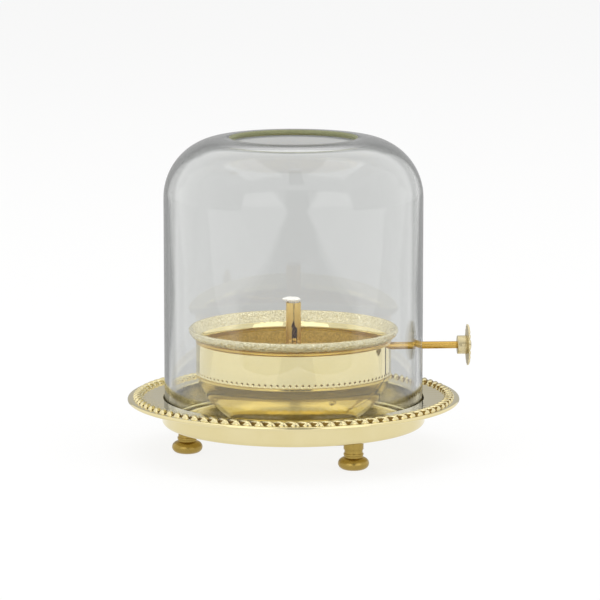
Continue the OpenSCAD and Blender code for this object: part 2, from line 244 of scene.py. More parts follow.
def grain(rows: int, turns: int, passes: int, seed: int) -> np.ndarray:
    """Seeded random unevenness, from -1 to 1, that closes round the turn.

    Args:
        rows: Number of rows.
        turns: Number of points round the turn.
        passes: Number of times that it is softened.
        seed: Seed of the draw.

    Returns:
        A table of rows by turns.
    """
    field = np.random.default_rng(seed).standard_normal((rows, turns))
    for _ in range(passes):
        field = (np.roll(field, 1, 1) + 2 * field + np.roll(field, -1, 1)) / 4
        field[1:-1] = (field[:-2] + 2 * field[1:-1] + field[2:]) / 4
    return np.clip(field / (2 * field.std()), -1, 1)


# Meshes


def smooth(mesh: bpy.types.Mesh, edge: Edge) -> None:
    """Shades a mesh smooth apart from its sharp edges."""
    mesh.shade_smooth()
    mesh.set_sharp_from_angle(angle=math.radians(edge.value))


def piece(
    name: str, points: np.ndarray, faces: list[list[int]], edge: Edge = Edge.PLAIN
) -> bpy.types.Object:
    """A new object, shaded smooth apart from its sharp edges.

    Args:
        name: Name of the object.
        points: Table of points.
        faces: Corners of each face.
        edge: Which edges are sharp.

    Returns:
        The object, in the scene.
    """
    mesh = bpy.data.meshes.new(name)
    mesh.from_pydata(np.asarray(points, float).reshape(-1, 3).tolist(), [], faces)
    smooth(mesh, edge)
    made = bpy.data.objects.new(name, mesh)
    bpy.context.scene.collection.objects.link(made)
    return made


def turned(
    name: str,
    radius: np.ndarray,
    height: np.ndarray,
    turns: int,
    ring: bool = True,
    edge: Edge = Edge.PLAIN,
) -> bpy.types.Object:
    """An anticlockwise outline turned about Z.

    Args:
        name: Name of the object.
        radius: Radii, one row to a point of the outline and one column, or one to a step of the turn.
        height: Heights in the same form.
        turns: Number of steps round the turn.
        ring: Whether the outline closes on itself; otherwise its two ends are capped.
        edge: Which edges are sharp.

    Returns:
        The object.
    """
    rows = len(radius)
    angles = np.arange(turns) * TAU / turns
    wide = np.broadcast_to(radius, (rows, turns))
    high = np.broadcast_to(height, (rows, turns))
    points = np.stack([wide * np.cos(angles), wide * np.sin(angles), high], -1)
    here = np.arange(rows * turns).reshape(rows, turns)
    next_turn = np.roll(here, -1, 1)
    last = rows if ring else rows - 1
    above = np.roll(here, -1, 0)[:last]
    above_next = np.roll(next_turn, -1, 0)[:last]
    faces = np.stack([here[:last], next_turn[:last], above_next, above], -1).reshape(-1, 4).tolist()
    if not ring:
        faces += [here[0, ::-1].tolist(), here[-1].tolist()]
    return piece(name, points, faces, edge)


def drill(name: str, radius: float, start: float, stop: float, turns: int) -> bpy.types.Object:
    """A plain cylinder on the Z axis, to cut a round hole with."""
    return turned(name, *columns([(radius, start), (radius, stop)]), turns, ring=False)


def prism(name: str, outline: Sequence[Point], start: float, stop: float) -> bpy.types.Object:
    """An anticlockwise outline in X and Z, drawn out along Y.

    Args:
        name: Name of the object.
        outline: Corners in X and Z.
        start: Lower end on Y.
        stop: Upper end on Y.

    Returns:
        The object.
    """
    count = len(outline)
    points = [(x, y, z) for y in (start, stop) for x, z in outline]
    faces = [[count + i, count + (i + 1) % count, (i + 1) % count, i] for i in range(count)]
    faces += [list(range(count)), list(range(count, 2 * count))[::-1]]
    return piece(name, np.array(points), faces)


def tubes(
    name: str, paths: Sequence[np.ndarray], radii: Sequence[np.ndarray], sides: int
) -> bpy.types.Object:
    """Round strands along paths, all in one object.

    Args:
        name: Name of the object.
        paths: Points of each strand's centre line.
        radii: Radius at each of those points.
        sides: Number of sides of a strand.

    Returns:
        The object.
    """
    points: list[np.ndarray] = []
    faces: list[list[int]] = []
    spokes = np.arange(sides) * TAU / sides
    for path, radius in zip(paths, radii):
        base = sum(len(p) for p in points)
        along = np.gradient(path, axis=0)
        along /= np.linalg.norm(along, axis=1, keepdims=True)
        side = np.cross(along, ASIDE)
        side /= np.linalg.norm(side, axis=1, keepdims=True)
        other = np.cross(along, side)
        ring = side[:, None] * np.cos(spokes)[:, None] + other[:, None] * np.sin(spokes)[:, None]
        points.append((path[:, None] + ring * np.asarray(radius)[:, None, None]).reshape(-1, 3))
        for i in range(len(path) - 1):
            for j in range(sides):
                a, b = base + i * sides + j, base + i * sides + (j + 1) % sides
                faces.append([a, b, b + sides, a + sides])
        end = base + (len(path) - 1) * sides
        faces += [list(range(base, base + sides))[::-1], list(range(end, end + sides))]
    return piece(name, np.concatenate(points), faces)


def along_x(made: bpy.types.Object, centre: Vector) -> bpy.types.Object:
    """Lays a piece that was turned about Z along X, with its axis through a point, and returns it."""
    made.data.transform(Matrix.Translation(centre) @ Z_TO_X)
    return made


def shifted(made: bpy.types.Object, offset: Vector) -> bpy.types.Object:
    """Moves a piece's mesh by an offset and returns the piece."""
    made.data.transform(Matrix.Translation(offset))
    return made


def cut(made: bpy.types.Object, cutter: bpy.types.Object, edge: Edge = Edge.PLAIN) -> bpy.types.Object:
    """Takes a cutter's shape out of a piece and removes the cutter.

    Args:
        made: The piece.
        cutter: A closed object.
        edge: Which edges are sharp.

    Returns:
        The same piece with its new mesh.
    """
    tool = made.modifiers.new("cut", "BOOLEAN")
    tool.operation = "DIFFERENCE"
    tool.solver = "EXACT"
    tool.object = cutter
    shown = made.evaluated_get(bpy.context.evaluated_depsgraph_get())
    mesh = bpy.data.meshes.new_from_object(shown)
    made.modifiers.clear()
    old = made.data
    made.data = mesh
    mesh.name = made.name
    bpy.data.meshes.remove(old)
    bpy.data.objects.remove(cutter)
    smooth(mesh, edge)
    return made


def joined(name: str, parts: Sequence[bpy.types.Object]) -> bpy.types.Object:
    """Several meshes as one object.

    Args:
        name: Name of the object.
        parts: The objects, which are removed.

    Returns:
        The object that holds them all.
    """
    points: list[tuple[float, ...]] = []
    faces: list[list[int]] = []
    for part in parts:
        base = len(points)
        points += [tuple(v.co) for v in part.data.vertices]
        faces += [[base + i for i in f.vertices] for f in part.data.polygons]
        bpy.data.objects.remove(part)
    return piece(name, np.array(points), faces)


# Finishes


def linear(colour: str) -> tuple[float, float, float, float]:
    """An sRGB hex colour as linear red, green, blue and alpha.

    Args:
        colour: A hash sign and six hex digits.

    Returns:
        The four shares, from 0 to 1.
    """
    shares = [int(colour[i : i + 2], 16) / 255 for i in (1, 3, 5)]
    red, green, blue = (s / 12.92 if s <= 0.04045 else ((s + 0.055) / 1.055) ** 2.4 for s in shares)
    return red, green, blue, 1.0


def add_node(
    tree: bpy.types.NodeTree, kind: str, inputs: dict | None = None, **settings: object
) -> bpy.types.Node:
    """Adds a node with its settings and links.

    Args:
        tree: Node tree that gets the node.
        kind: Node type.
        inputs: Socket name or number to a value, or to the output that it is linked to.
        settings: Attributes of the node.

    Returns:
        The node.
    """
    node = tree.nodes.new(kind)
    for name, value in settings.items():
        setattr(node, name, value)
    for name, value in (inputs or {}).items():
        if isinstance(value, bpy.types.NodeSocket):
            tree.links.new(value, node.inputs[name])
        else:
            node.inputs[name].default_value = value
    return node


def new_material(name: str) -> tuple[bpy.types.Material, bpy.types.NodeTree]:
    """An empty node material.

    Args:
        name: Name of the material.

    Returns:
        The material and its node tree.
    """
    material = bpy.data.materials.new(name)
    material.use_nodes = True
    material.node_tree.nodes.clear()
    return material, material.node_tree


@dataclass(frozen=True)
class Finish:
    """A finish whose pattern lies in the piece's own frame, so that its sizes are real ones."""

    name: str

    def look(self, tree: bpy.types.NodeTree, place: bpy.types.NodeSocket) -> dict[str, object]:
        """What the surface gives the shader.

        Args:
            tree: Node tree of the material.
            place: Point on the piece, in metres.

        Returns:
            The shader's socket names to values, or to the outputs that they are linked to.
        """
        raise NotImplementedError

    def material(self) -> bpy.types.Material:
        """Builds the finish, once.

        Returns:
            The material.
        """
        if self.name in bpy.data.materials:
            return bpy.data.materials[self.name]
        material, tree = new_material(self.name)
        place = add_node(tree, "ShaderNodeTexCoord").outputs["Object"]
        shader = add_node(tree, "ShaderNodeBsdfPrincipled", self.look(tree, place))
        add_node(tree, "ShaderNodeOutputMaterial", {"Surface": shader.outputs["BSDF"]})
        return material


@dataclass(frozen=True)
class Brass(Finish):
    """A brass surface: two close colours in slow patches, uneven polish and the marks of its making.

    patch is the size of the colour patches. mark is the spacing of the marks, stretch how much longer they
    are along the axis that the piece was drawn or turned on, and depth how deep they are.
    """

    light: str
    deep: str
    smooth: float
    rough: float
    mark: float
    depth: float
    patch: float = 14 * MM
    axis: Axis = Axis.Z
    stretch: float = 1.0
    metallic: float = 1.0

    def look(self, tree: bpy.types.NodeTree, place: bpy.types.NodeSocket) -> dict[str, object]:
        """Colour from the patches, and polish and relief from the marks.

        Args:
            tree: Node tree of the material.
            place: Point on the piece, in metres.

        Returns:
            The shader's inputs.
        """
        scale = [1.0, 1.0, 1.0]
        scale[self.axis.value] = 1 / self.stretch
        lengthwise = add_node(tree, "ShaderNodeMapping", {"Vector": place, "Scale": scale}).outputs["Vector"]
        spots = {"Vector": place, "Scale": 1 / self.patch, "Detail": 3.0}
        patches = add_node(tree, "ShaderNodeTexNoise", spots).outputs["Fac"]
        lines = {"Vector": lengthwise, "Scale": 1 / self.mark, "Detail": 2.0}
        marks = add_node(tree, "ShaderNodeTexNoise", lines).outputs["Fac"]
        span = {"From Min": 0.3, "From Max": 0.7, "To Min": self.smooth, "To Max": self.rough}
        polish = add_node(tree, "ShaderNodeMapRange", {"Value": marks, **span})
        relief = add_node(tree, "ShaderNodeBump", {"Height": marks, "Distance": self.depth, "Strength": 1.0})
        colours = {MIX_SHARE: patches, MIX_FIRST: linear(self.light), MIX_SECOND: linear(self.deep)}
        return {
            "Base Color": add_node(tree, "ShaderNodeMix", colours, data_type="RGBA").outputs[MIX_RESULT],
            "Metallic": self.metallic,
            "Roughness": polish.outputs["Result"],
            "Normal": relief.outputs["Normal"],
        }


@dataclass(frozen=True)
class Glass(Finish):
    """Moulded soda-lime glass, nearly clear, and deeper in colour where the wall is seen edge on.

    The colour deepens between two slants, where 0 is face on and 1 is edge on.
    """

    face: str
    edge: str
    ior: float = 1.5
    wave: float = 30 * MM
    wave_depth: float = 0.03 * MM
    slant_start: float = 0.64
    slant_stop: float = 0.76

    def look(self, tree: bpy.types.NodeTree, place: bpy.types.NodeSocket) -> dict[str, object]:
        """Colour from the slant, and slow waves from the mould.

        Args:
            tree: Node tree of the material.
            place: Point on the piece, in metres.

        Returns:
            The shader's inputs.
        """
        ripples = {"Vector": place, "Scale": 1 / self.wave, "Detail": 1.0}
        waves = add_node(tree, "ShaderNodeTexNoise", ripples).outputs["Fac"]
        bumps = {"Height": waves, "Distance": self.wave_depth, "Strength": 1.0}
        relief = add_node(tree, "ShaderNodeBump", bumps)
        slant = add_node(tree, "ShaderNodeLayerWeight", {"Blend": 0.5}).outputs["Facing"]
        span = {"Value": slant, "From Min": self.slant_start, "From Max": self.slant_stop}
        deepening = add_node(tree, "ShaderNodeMapRange", span, interpolation_type="SMOOTHSTEP")
        colours = {MIX_FIRST: linear(self.face), MIX_SECOND: linear(self.edge)}
        colours[MIX_SHARE] = deepening.outputs["Result"]
        return {
            "Base Color": add_node(tree, "ShaderNodeMix", colours, data_type="RGBA").outputs[MIX_RESULT],
            "Roughness": 0.0,
            "IOR": self.ior,
            "Transmission Weight": 1.0,
            "Normal": relief.outputs["Normal"],
        }


@dataclass(frozen=True)
class Cotton(Finish):
    """Twisted cotton: matt and fuzzy, white at the tip and brown below it, partly oil stain and partly
    painted shade inside the tube.
    """

    white: str
    stain_and_shade: str
    white_above: float
    stain_and_shade_fade: float = 2 * MM
    thread: float = 0.5 * MM
    fuzz_depth: float = 0.1 * MM

    def look(self, tree: bpy.types.NodeTree, place: bpy.types.NodeSocket) -> dict[str, object]:
        """Colour from the height, and fuzz from the threads.

        Args:
            tree: Node tree of the material.
            place: Point on the piece, in metres.

        Returns:
            The shader's inputs.
        """
        height = add_node(tree, "ShaderNodeSeparateXYZ", {"Vector": place}).outputs["Z"]
        span = {"From Min": self.white_above - self.stain_and_shade_fade, "From Max": self.white_above}
        white_share = add_node(tree, "ShaderNodeMapRange", {"Value": height, **span}).outputs["Result"]
        threads = {"Vector": place, "Scale": 1 / self.thread, "Detail": 3.0}
        fuzz = add_node(tree, "ShaderNodeTexNoise", threads).outputs["Fac"]
        bumps = {"Height": fuzz, "Distance": self.fuzz_depth, "Strength": 0.6}
        relief = add_node(tree, "ShaderNodeBump", bumps)
        # Painted shade and oil stain: the cord is brown below the rim and white above it
        colours = {MIX_SHARE: white_share, MIX_FIRST: linear(self.stain_and_shade), MIX_SECOND: linear(self.white)}
        return {
            "Base Color": add_node(tree, "ShaderNodeMix", colours, data_type="RGBA").outputs[MIX_RESULT],
            "Roughness": 0.9,
            "Sheen Weight": 0.3,
            "Normal": relief.outputs["Normal"],
        }


@dataclass(frozen=True)
class Plain(Finish):
    """A plain surface with slight unevenness, for zinc-plated steel, rubber and ground glass."""

    light: str
    dark: str
    metallic: float
    smooth: float
    rough: float
    speck: float

    def look(self, tree: bpy.types.NodeTree, place: bpy.types.NodeSocket) -> dict[str, object]:
        """Colour and polish from fine specks.

        Args:
            tree: Node tree of the material.
            place: Point on the piece, in metres.

        Returns:
            The shader's inputs.
        """
        spots = {"Vector": place, "Scale": 1 / self.speck, "Detail": 3.0}
        specks = add_node(tree, "ShaderNodeTexNoise", spots).outputs["Fac"]
        span = {"Value": specks, "To Min": self.smooth, "To Max": self.rough}
        colours = {MIX_SHARE: specks, MIX_FIRST: linear(self.light), MIX_SECOND: linear(self.dark)}
        return {
            "Base Color": add_node(tree, "ShaderNodeMix", colours, data_type="RGBA").outputs[MIX_RESULT],
            "Metallic": self.metallic,
            "Roughness": add_node(tree, "ShaderNodeMapRange", span).outputs["Result"],
        }


# Buffed and lacquered sheet and castings: a bright mirror with a faint haze
POLISHED_BRASS = Brass("polished_brass_lacquered", "#E5D9AC", "#DECF9A", 0.02, 0.05, 2.5 * MM, 0.0004 * MM)
# The same brass struck all over with a fine punch, its glitter painted: near-white specks as painted glints
# on a darker olive that paints the dark reflection
STIPPLED_BRASS_GLINTS = Brass(
    "polished_brass_stippled_glints",
    "#FFF9DC",
    "#A39152",
    0.10,
    0.20,
    0.6 * MM,
    0.10 * MM,
    patch=0.9 * MM,
    metallic=0.65,
)
# The tray's well, lacquered but less buffed: a slightly soft shine
BRUSHED_BRASS = Brass(
    "polished_brass_brushed", "#F0E4B6", "#E8D8A0", 0.08, 0.15, 1.0 * MM, 0.001 * MM, metallic=0.85
)
# The lower bowl under clouded lacquer: a hazy gold
CLOUDED_BRASS = Brass(
    "polished_brass_clouded", "#EEE0A6", "#E6D48E", 0.03, 0.07, 2.5 * MM, 0.0004 * MM, metallic=0.85
)
# The neck groove: a deeper gold, painted shade in the groove
GROOVE_SHADE_BRASS = Brass("polished_brass_groove_shade", "#D0B262", "#B4954A", 0.14, 0.24, 0.6 * MM, 0.004 * MM)
# Lathe-turned and left satin: fine rings, and an olive gold that is partly painted shade under the tray
TURNED_BRASS_SATIN_AND_SHADE = Brass(
    "turned_brass_satin_and_shade", "#B39A55", "#9A8040", 0.24, 0.36, 0.5 * MM, 0.02 * MM, stretch=0.2
)
# Tumbled and unlacquered: a dull beige
TUMBLED_BRASS = Brass("turned_brass_tumbled", "#DCD0A8", "#CFC096", 0.26, 0.38, 0.6 * MM, 0.006 * MM)
# Rod drawn through a die: streaks along its length, coarser than real ones so that they show
DRAWN_ROD_BRASS = Brass(
    "drawn_brass_rod", "#CDAC5E", "#C09A4C", 0.18, 0.30, 0.5 * MM, 0.004 * MM, axis=Axis.X, stretch=20
)
# Sheet rolled to a tube: the same streaks along its length, duller than the rod
DRAWN_TUBE_BRASS = Brass(
    "drawn_brass_tube", "#E4CB8A", "#D8BA74", 0.28, 0.42, 0.5 * MM, 0.004 * MM, stretch=20
)
# The inside of the casting: sand-cast, wire-brushed and never buffed, a brown gold that is partly painted
# shade inside the bowl, with bright specks as painted glints
CAST_BRASS_SHADE_AND_GLINTS = Brass(
    "cast_brass_brushed_shade_glints", "#FFE486", "#8A6A1C", 0.28, 0.42, 0.6 * MM, 0.07 * MM, patch=0.9 * MM, metallic=0.6
)
# Punch marks and the gaps between beads: a dark brown, painted shade in the recesses
RECESS_SHADE_BRASS = Brass("polished_brass_recess_shade", "#8A7036", "#6E5526", 0.35, 0.5, 0.6 * MM, 0.02 * MM)
# Soda-lime glass, moulded: clear, with a grey edge
CLEAR_GLASS = Glass("clear_glass_moulded", "#FCFDFC", "#7C7F7C")
# The same glass where it is ground flat round the vent: frosted, and olive with the depth of the glass
GLASS_EDGE = Plain("clear_glass_ground_edge", "#84865C", "#72744A", 0.0, 0.35, 0.5, 1.0 * MM)
# Zinc-plated machine screws and washers: a cool grey with a soft shine
ZINC_STEEL = Plain("zinc_plated_steel", "#C9CBCC", "#A9ACAE", 1.0, 0.25, 0.4, 1.5 * MM)
# Moulded nitrile sheet: matt black
NITRILE = Plain("nitrile_rubber_moulded", "#2A2A2A", "#1C1C1C", 0.0, 0.7, 0.9, 0.8 * MM)


def dress(made: bpy.types.Object, body: Body, slot: Slot, node: str, *finishes: Finish) -> None:
    """Gives a piece its finishes and its place in the frame.

    Args:
        made: The piece.
        body: Body that it rides on.
        slot: The record's slot that its finishes stand for; not used.
        node: CAD node that it stands for.
        finishes: Its finishes, in the order of its faces' numbers.
    """
    for finish in finishes:
        made.data.materials.append(finish.material())
    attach(made, body.value)
    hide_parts(node)
    LOG.info("%s: %d faces on %s", made.name, len(made.data.polygons), body.value)


# Sub-assemblies


@dataclass
class Tray:
    """The pressed tray: a well for the dome, a flat flange, slanted beads and a rolled rim.

    Gaps between beads are painted dark brown as shade up to gap_depth of a bead's height and gap_reach of the
    border's width. The fold at the well's top is polished like the flange for its first polished_rows rows.
    """

    sheet: float = 0.8 * MM
    roll_d: float = 1.8 * MM
    roll_steps: int = 20
    border_inset: float = 4.8 * MM
    border_w: float = 4.8 * MM
    border_step: float = 0.3 * MM
    bead_count: int = 86
    bead_h: float = 1.8 * MM
    bead_slant: float = 42.0
    bead_fill: float = 0.9
    bead_squareness: float = 2.5
    steps_per_bead: int = 10
    gap_depth: float = 0.42
    gap_reach: float = 0.85
    fold_r: float = 0.6 * MM
    fold_steps: int = 6
    polished_rows: int = 3
    ring_r: float = 53.0 * MM
    ring_wire: float = 1.6 * MM
    well_corner: float = 1.25 * MM
    dome_clear: float = 0.4 * MM
    hole_r: float = 2.7 * MM

    def flange_top(self) -> float:
        """Height of the flange between the beads."""
        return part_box("tray")[1].z - self.bead_h

    def border_r(self) -> float:
        """Radius of the middle of the beads."""
        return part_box("tray")[1].y - self.border_inset

    def outlines(self) -> tuple[list[Point], list[Point]]:
        """The sheet's section in two parts.

        Returns:
            The underside and the flange, from the clamp hole out, and the well, back to the hole.
        """
        low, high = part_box("tray")
        floor_top = low.z + self.sheet
        flange_top = self.flange_top()
        well_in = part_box("glass_dome")[1].y + self.dome_clear
        corner = (well_in - self.well_corner, floor_top + self.well_corner)
        fold = (well_in + self.fold_r, flange_top - self.fold_r)
        roll_r = self.roll_d / 2
        roll = (high.y - roll_r, flange_top - roll_r)
        roll_start = -180 - math.degrees(math.asin((roll_r - self.sheet) / roll_r))
        border_in = self.border_r() - self.border_w / 2
        border_out = border_in + self.border_w
        flange = [
            (self.hole_r, low.z),
            *arc(corner, self.well_corner + self.sheet, -90, 0),
            (well_in + self.sheet, flange_top - self.sheet),
            *arc(roll, roll_r, roll_start, 90, self.roll_steps),
            *line((border_out, flange_top), (border_in, flange_top), self.border_step),
        ]
        well = [
            *arc(fold, self.fold_r, 90, 180, self.fold_steps),
            *arc(corner, self.well_corner, 0, -90),
            *arc((self.ring_r, floor_top), self.ring_wire / 2, 0, 180),
            (self.hole_r, floor_top),
        ]
        return flange, well

    def beads(self, radius: np.ndarray, turns: int) -> np.ndarray:
        """Height of the slanted beads over the flange.

        Args:
            radius: Column of radii.
            turns: Number of steps round the turn.

        Returns:
            A table of heights, zero away from the border.
        """
        middle = self.border_r()
        angles = np.arange(turns) * TAU / turns
        across = (radius - middle) / (self.border_w / 2)
        lean = (radius - middle) * math.tan(math.radians(self.bead_slant)) / middle
        phase = ((angles - lean) * self.bead_count / TAU) % 1 - 0.5
        rounding = 1 - np.abs(across) ** self.bead_squareness - np.abs(2 * phase / self.bead_fill) ** 2
        return self.bead_h * np.sqrt(np.clip(rounding, 0, 1))

    def build(self) -> None:
        """Makes the tray."""
        turns = self.bead_count * self.steps_per_bead
        flange, well = self.outlines()
        radius, height = columns(flange + well)
        on_flange = np.isclose(height, self.flange_top(), atol=MICRON)
        beads = np.where(on_flange, self.beads(radius, turns), 0)
        tray = turned("tray_pressed", radius, height + beads, turns, edge=Edge.ROUNDED)
        finishes = [POLISHED_BRASS, BRUSHED_BRASS, RECESS_SHADE_BRASS]
        finish_of = np.zeros((len(radius), turns), np.int32)
        finish_of[len(flange) + self.polished_rows :] = finishes.index(BRUSHED_BRASS)
        # Painted shade: the gaps between the beads get the dark brown finish
        on_border = np.abs(radius - self.border_r()) < self.gap_reach * self.border_w / 2
        in_gap = on_flange & on_border & (beads < self.gap_depth * self.bead_h)
        finish_of[in_gap] = finishes.index(RECESS_SHADE_BRASS)
        tray.data.polygons.foreach_set("material_index", finish_of.ravel())
        dress(tray, Body.BASE, Slot.POLISHED, "tray", *finishes)


@dataclass
class SlottedScrew:
    """A screw with a domed and slotted head, made on the Z axis with its point down.

    edge_share is how much of the head's height stands straight, and slot_share how much the slot takes.
    """

    name: str
    start: float
    seat: float
    shank_d: float
    head_d: float
    head_h: float
    slot_w: float
    edge_share: float = 0.45
    slot_share: float = 0.45
    crown_r: float = 0.3 * MM
    crown_steps: int = 10
    rounding: float = 0.12 * MM

    def build(self) -> bpy.types.Object:
        """Makes the screw.

        Returns:
            The screw.
        """
        shank_r = self.shank_d / 2
        head_r = self.head_d / 2
        top = self.seat + self.head_h
        edge = (head_r, self.seat + self.edge_share * self.head_h)
        crown = (self.crown_r, top)
        slope = math.atan2(crown[1] - edge[1], edge[0] - crown[0])
        dome = bulge(edge, crown, math.dist(edge, crown) / 2 * math.tan(slope / 2), self.crown_steps)
        corners = [(self.crown_r, self.start), (shank_r, self.start), (shank_r, self.seat)]
        corners += [(head_r, self.seat), edge]
        outline = rounded(corners, self.rounding) + dome[1:]
        screw = turned(self.name, *columns(outline), SCREW_ROUND, ring=False)
        half = self.slot_w / 2
        slot = oblong(-half, half, top - self.slot_share * self.head_h, top + self.head_h)
        return cut(screw, prism(self.name + "_slot", slot, -self.head_d, self.head_d))


@dataclass
class Feet:
    """The three turned feet and the screws that hold them."""

    bun_d: float = 14 * MM
    bun_h: float = 5.6 * MM
    bun_steps: int = 24
    flat_d: float = 7.4 * MM
    stem_d: float = 9 * MM
    groove: float = 0.4 * MM
    groove_w: float = 1.8 * MM
    rounding: float = 0.15 * MM
    turns: int = 96
    head_d: float = 5.5 * MM
    head_h: float = 1.6 * MM
    screw_d: float = 3 * MM
    slot_w: float = 0.9 * MM

    def outline(self, height: float) -> list[Point]:
        """A foot's section, from the edge of its flat up to the tray.

        Args:
            height: Height of the foot.

        Returns:
            The outline, open towards the axis.
        """
        stem = self.stem_d / 2
        neck = stem - self.groove / 2
        waist = stem - self.groove
        flat = self.flat_d / 2
        swell = self.bun_d / 2 - flat
        end = math.degrees(math.acos((neck - flat) / swell))
        round_side = arc((0, 0), 1, -90, end, self.bun_steps)
        bun = [(flat + swell * x, self.bun_h / 2 * (1 + y)) for x, y in round_side]
        ring = self.bun_h + self.groove_w / 2
        groove = ring + self.groove_w / 2
        groove_top = groove + self.groove_w
        corners = [bun[-1], (neck, ring), (stem, ring), (stem, groove), (waist, groove)]
        corners += [(waist, groove_top), (stem, groove_top), (stem, height)]
        return bun + rounded(corners, self.rounding)[1:]

    def build(self) -> None:
        """Makes the feet and their screws."""
        screw_low, screw_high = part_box("foot_screws")
        seat = screw_high.z - self.head_h
        sizes = (self.screw_d, self.head_d, self.head_h, self.slot_w)
        heads = []
        for node in ("foot_left", "foot_front", "foot_rear"):
            low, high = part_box(node)
            place = Vector(((low.x + high.x) / 2, (low.y + high.y) / 2, 0))
            outline = columns(self.outline(high.z))
            foot = turned(node + "_turned", *outline, self.turns, ring=False, edge=Edge.ROUNDED)
            # The feet's olive gold is partly painted shade under the tray
            dress(shifted(foot, place), Body.BASE, Slot.TURNED, node, TURNED_BRASS_SATIN_AND_SHADE)
            heads.append(shifted(SlottedScrew("foot_screw", screw_low.z, seat, *sizes).build(), place))
        screws = joined("foot_screw_heads", heads)
        dress(screws, Body.BASE, Slot.POLISHED, "foot_screws", POLISHED_BRASS)


class Zone(Enum):
    """How a stretch of the bowl's section was finished."""

    BUFFED = 0
    PUNCHED = 1
    STIPPLED = 2
    HAMMERED = 3
    GROOVED = 4
    CLOUDED = 5


@dataclass
class Bowl:
    """The cast and turned oil bowl with its punched line and stippled lip.

    A step is the distance between points along the section, as fine as the relief there needs. A punch
    mark is painted dark brown as shade where it is deeper than the share shade_from. lip_soft is how far the
    lip's corner is taken back, as shares of its edge.
    """

    wall_inset: float = 3.0 * MM
    wall_t: float = 1.8 * MM
    wall_step: float = 3 * MM
    lip_h: float = 5.4 * MM
    lip_edge: float = 0.9 * MM
    lip_soft: Point = (0.3, 0.1)
    lip_bulge: float = 0.9 * MM
    lip_steps: int = 18
    groove: float = 0.7 * MM
    groove_w: float = 2.0 * MM
    groove_steps: int = 6
    groove_land: float = 0.1 * MM
    roll_h: float = 3.1 * MM
    roll_bulge: float = 0.3 * MM
    roll_steps: int = 10
    base_r: float = 25.0 * MM
    base_t: float = 2.0 * MM
    crease_h: float = 11.7 * MM
    crease_slope: float = 37.8
    shoulder_rise: float = 12.7 * MM
    curve_steps: int = 16
    bend_r: float = 12.0 * MM
    bend_slope: float = 15.0
    bend_steps: int = 22
    bend_in_steps: int = 6
    hole_r: float = 2.7 * MM
    punch_h: float = 24.1 * MM
    punch_margin: float = 1.2 * MM
    punch_step: float = 0.14 * MM
    punch_count: int = 100
    punch_rise: float = 0.9 * MM
    punch_w: float = 0.75 * MM
    punch_depth: float = 0.45 * MM
    steps_per_punch: int = 10
    shade_from: float = 0.35
    stipple: float = 0.20 * MM
    stipple_step: float = 0.32 * MM
    stipple_seed: int = 7
    hammer: float = 0.03 * MM
    hammer_step: float = 0.6 * MM
    hammer_seed: int = 11
    spindle_hole_d: float = 3.8 * MM
    drill_reach: Point = (0.8, 1.2)

    def stretches(self) -> list[tuple[Zone, list[Point]]]:
        """The section, outside from the base up and inside back down.

        Returns:
            Each stretch's zone and points.
        """
        low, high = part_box("bowl")
        lip_r = high.y
        top = high.z - low.z
        wall_r = lip_r - self.wall_inset
        wall_in = wall_r - self.wall_t
        neck = top - self.lip_h
        groove_low = (wall_r, neck - self.groove_w / 2)
        groove_high = (wall_r, neck + self.groove_w / 2)
        land = (wall_r, groove_low[1] - self.groove_land)
        swell = bulge(groove_low, groove_high, self.groove, self.groove_steps)
        groove = [(2 * wall_r - r, z) for r, z in swell]
        shoulder_h = self.crease_h + self.shoulder_rise
        bend, slope = math.radians(self.bend_slope), math.radians(self.crease_slope)
        bend_at = (wall_r - self.bend_r, shoulder_h)
        bend_out = arc(bend_at, self.bend_r, -self.bend_slope, 0, self.bend_steps)
        bend_in = arc(bend_at, self.bend_r - self.wall_t, 0, -self.bend_slope, self.bend_in_steps)
        foot_r, foot_z = bend_out[0]
        taper_r = (self.shoulder_rise - self.bend_r * math.sin(bend)) / (math.sin(slope) - math.sin(bend))
        taper_at = (foot_r - taper_r * math.cos(bend), foot_z + taper_r * math.sin(bend))
        slopes = (-self.crease_slope, -self.bend_slope, self.curve_steps)
        taper = arc(taper_at, taper_r, *slopes)
        taper_in = arc(taper_at, taper_r - self.wall_t, *slopes)
        lower = self.lower((self.base_r, 0), taper[0])
        lower_in = self.lower((self.base_r - self.wall_t, self.base_t), taper_in[0])
        edge = self.lip_edge
        lip_out = bulge(groove_high, (lip_r, top - edge / 2), self.lip_bulge, self.lip_steps)
        lip_corner = (lip_r - self.lip_soft[0] * edge, top - self.lip_soft[1] * edge)
        roll_top = (wall_r - edge, groove_high[1])
        roll_foot = (wall_in, neck - self.roll_h)
        punched = (wall_r, self.punch_h + self.punch_margin)
        stretches = [
            (Zone.CLOUDED, [(self.hole_r, 0.0), *lower, *taper[1:]]),
            (Zone.PUNCHED, bend_out[1:]),
            (Zone.PUNCHED, line((wall_r, shoulder_h), punched, self.punch_step)[1:]),
            (Zone.BUFFED, line(punched, land, self.wall_step)[1:]),
            (Zone.GROOVED, groove),
            (Zone.STIPPLED, lip_out[1:]),
            (Zone.BUFFED, [lip_corner, (lip_r - edge / 2, top)]),
            (Zone.STIPPLED, line((lip_r - edge, top), roll_top, self.stipple_step)),
            (Zone.BUFFED, bulge(roll_top, roll_foot, self.roll_bulge, self.roll_steps)[1:]),
            (Zone.HAMMERED, line(roll_foot, (wall_in, shoulder_h), self.hammer_step)[1:]),
            (Zone.HAMMERED, bend_in[1:]),
            (Zone.HAMMERED, taper_in[::-1][1:]),
            (Zone.HAMMERED, lower_in[::-1][1:]),
            (Zone.BUFFED, [(self.hole_r, self.base_t)]),
        ]
        return [(zone, [(r, z + low.z) for r, z in points]) for zone, points in stretches]

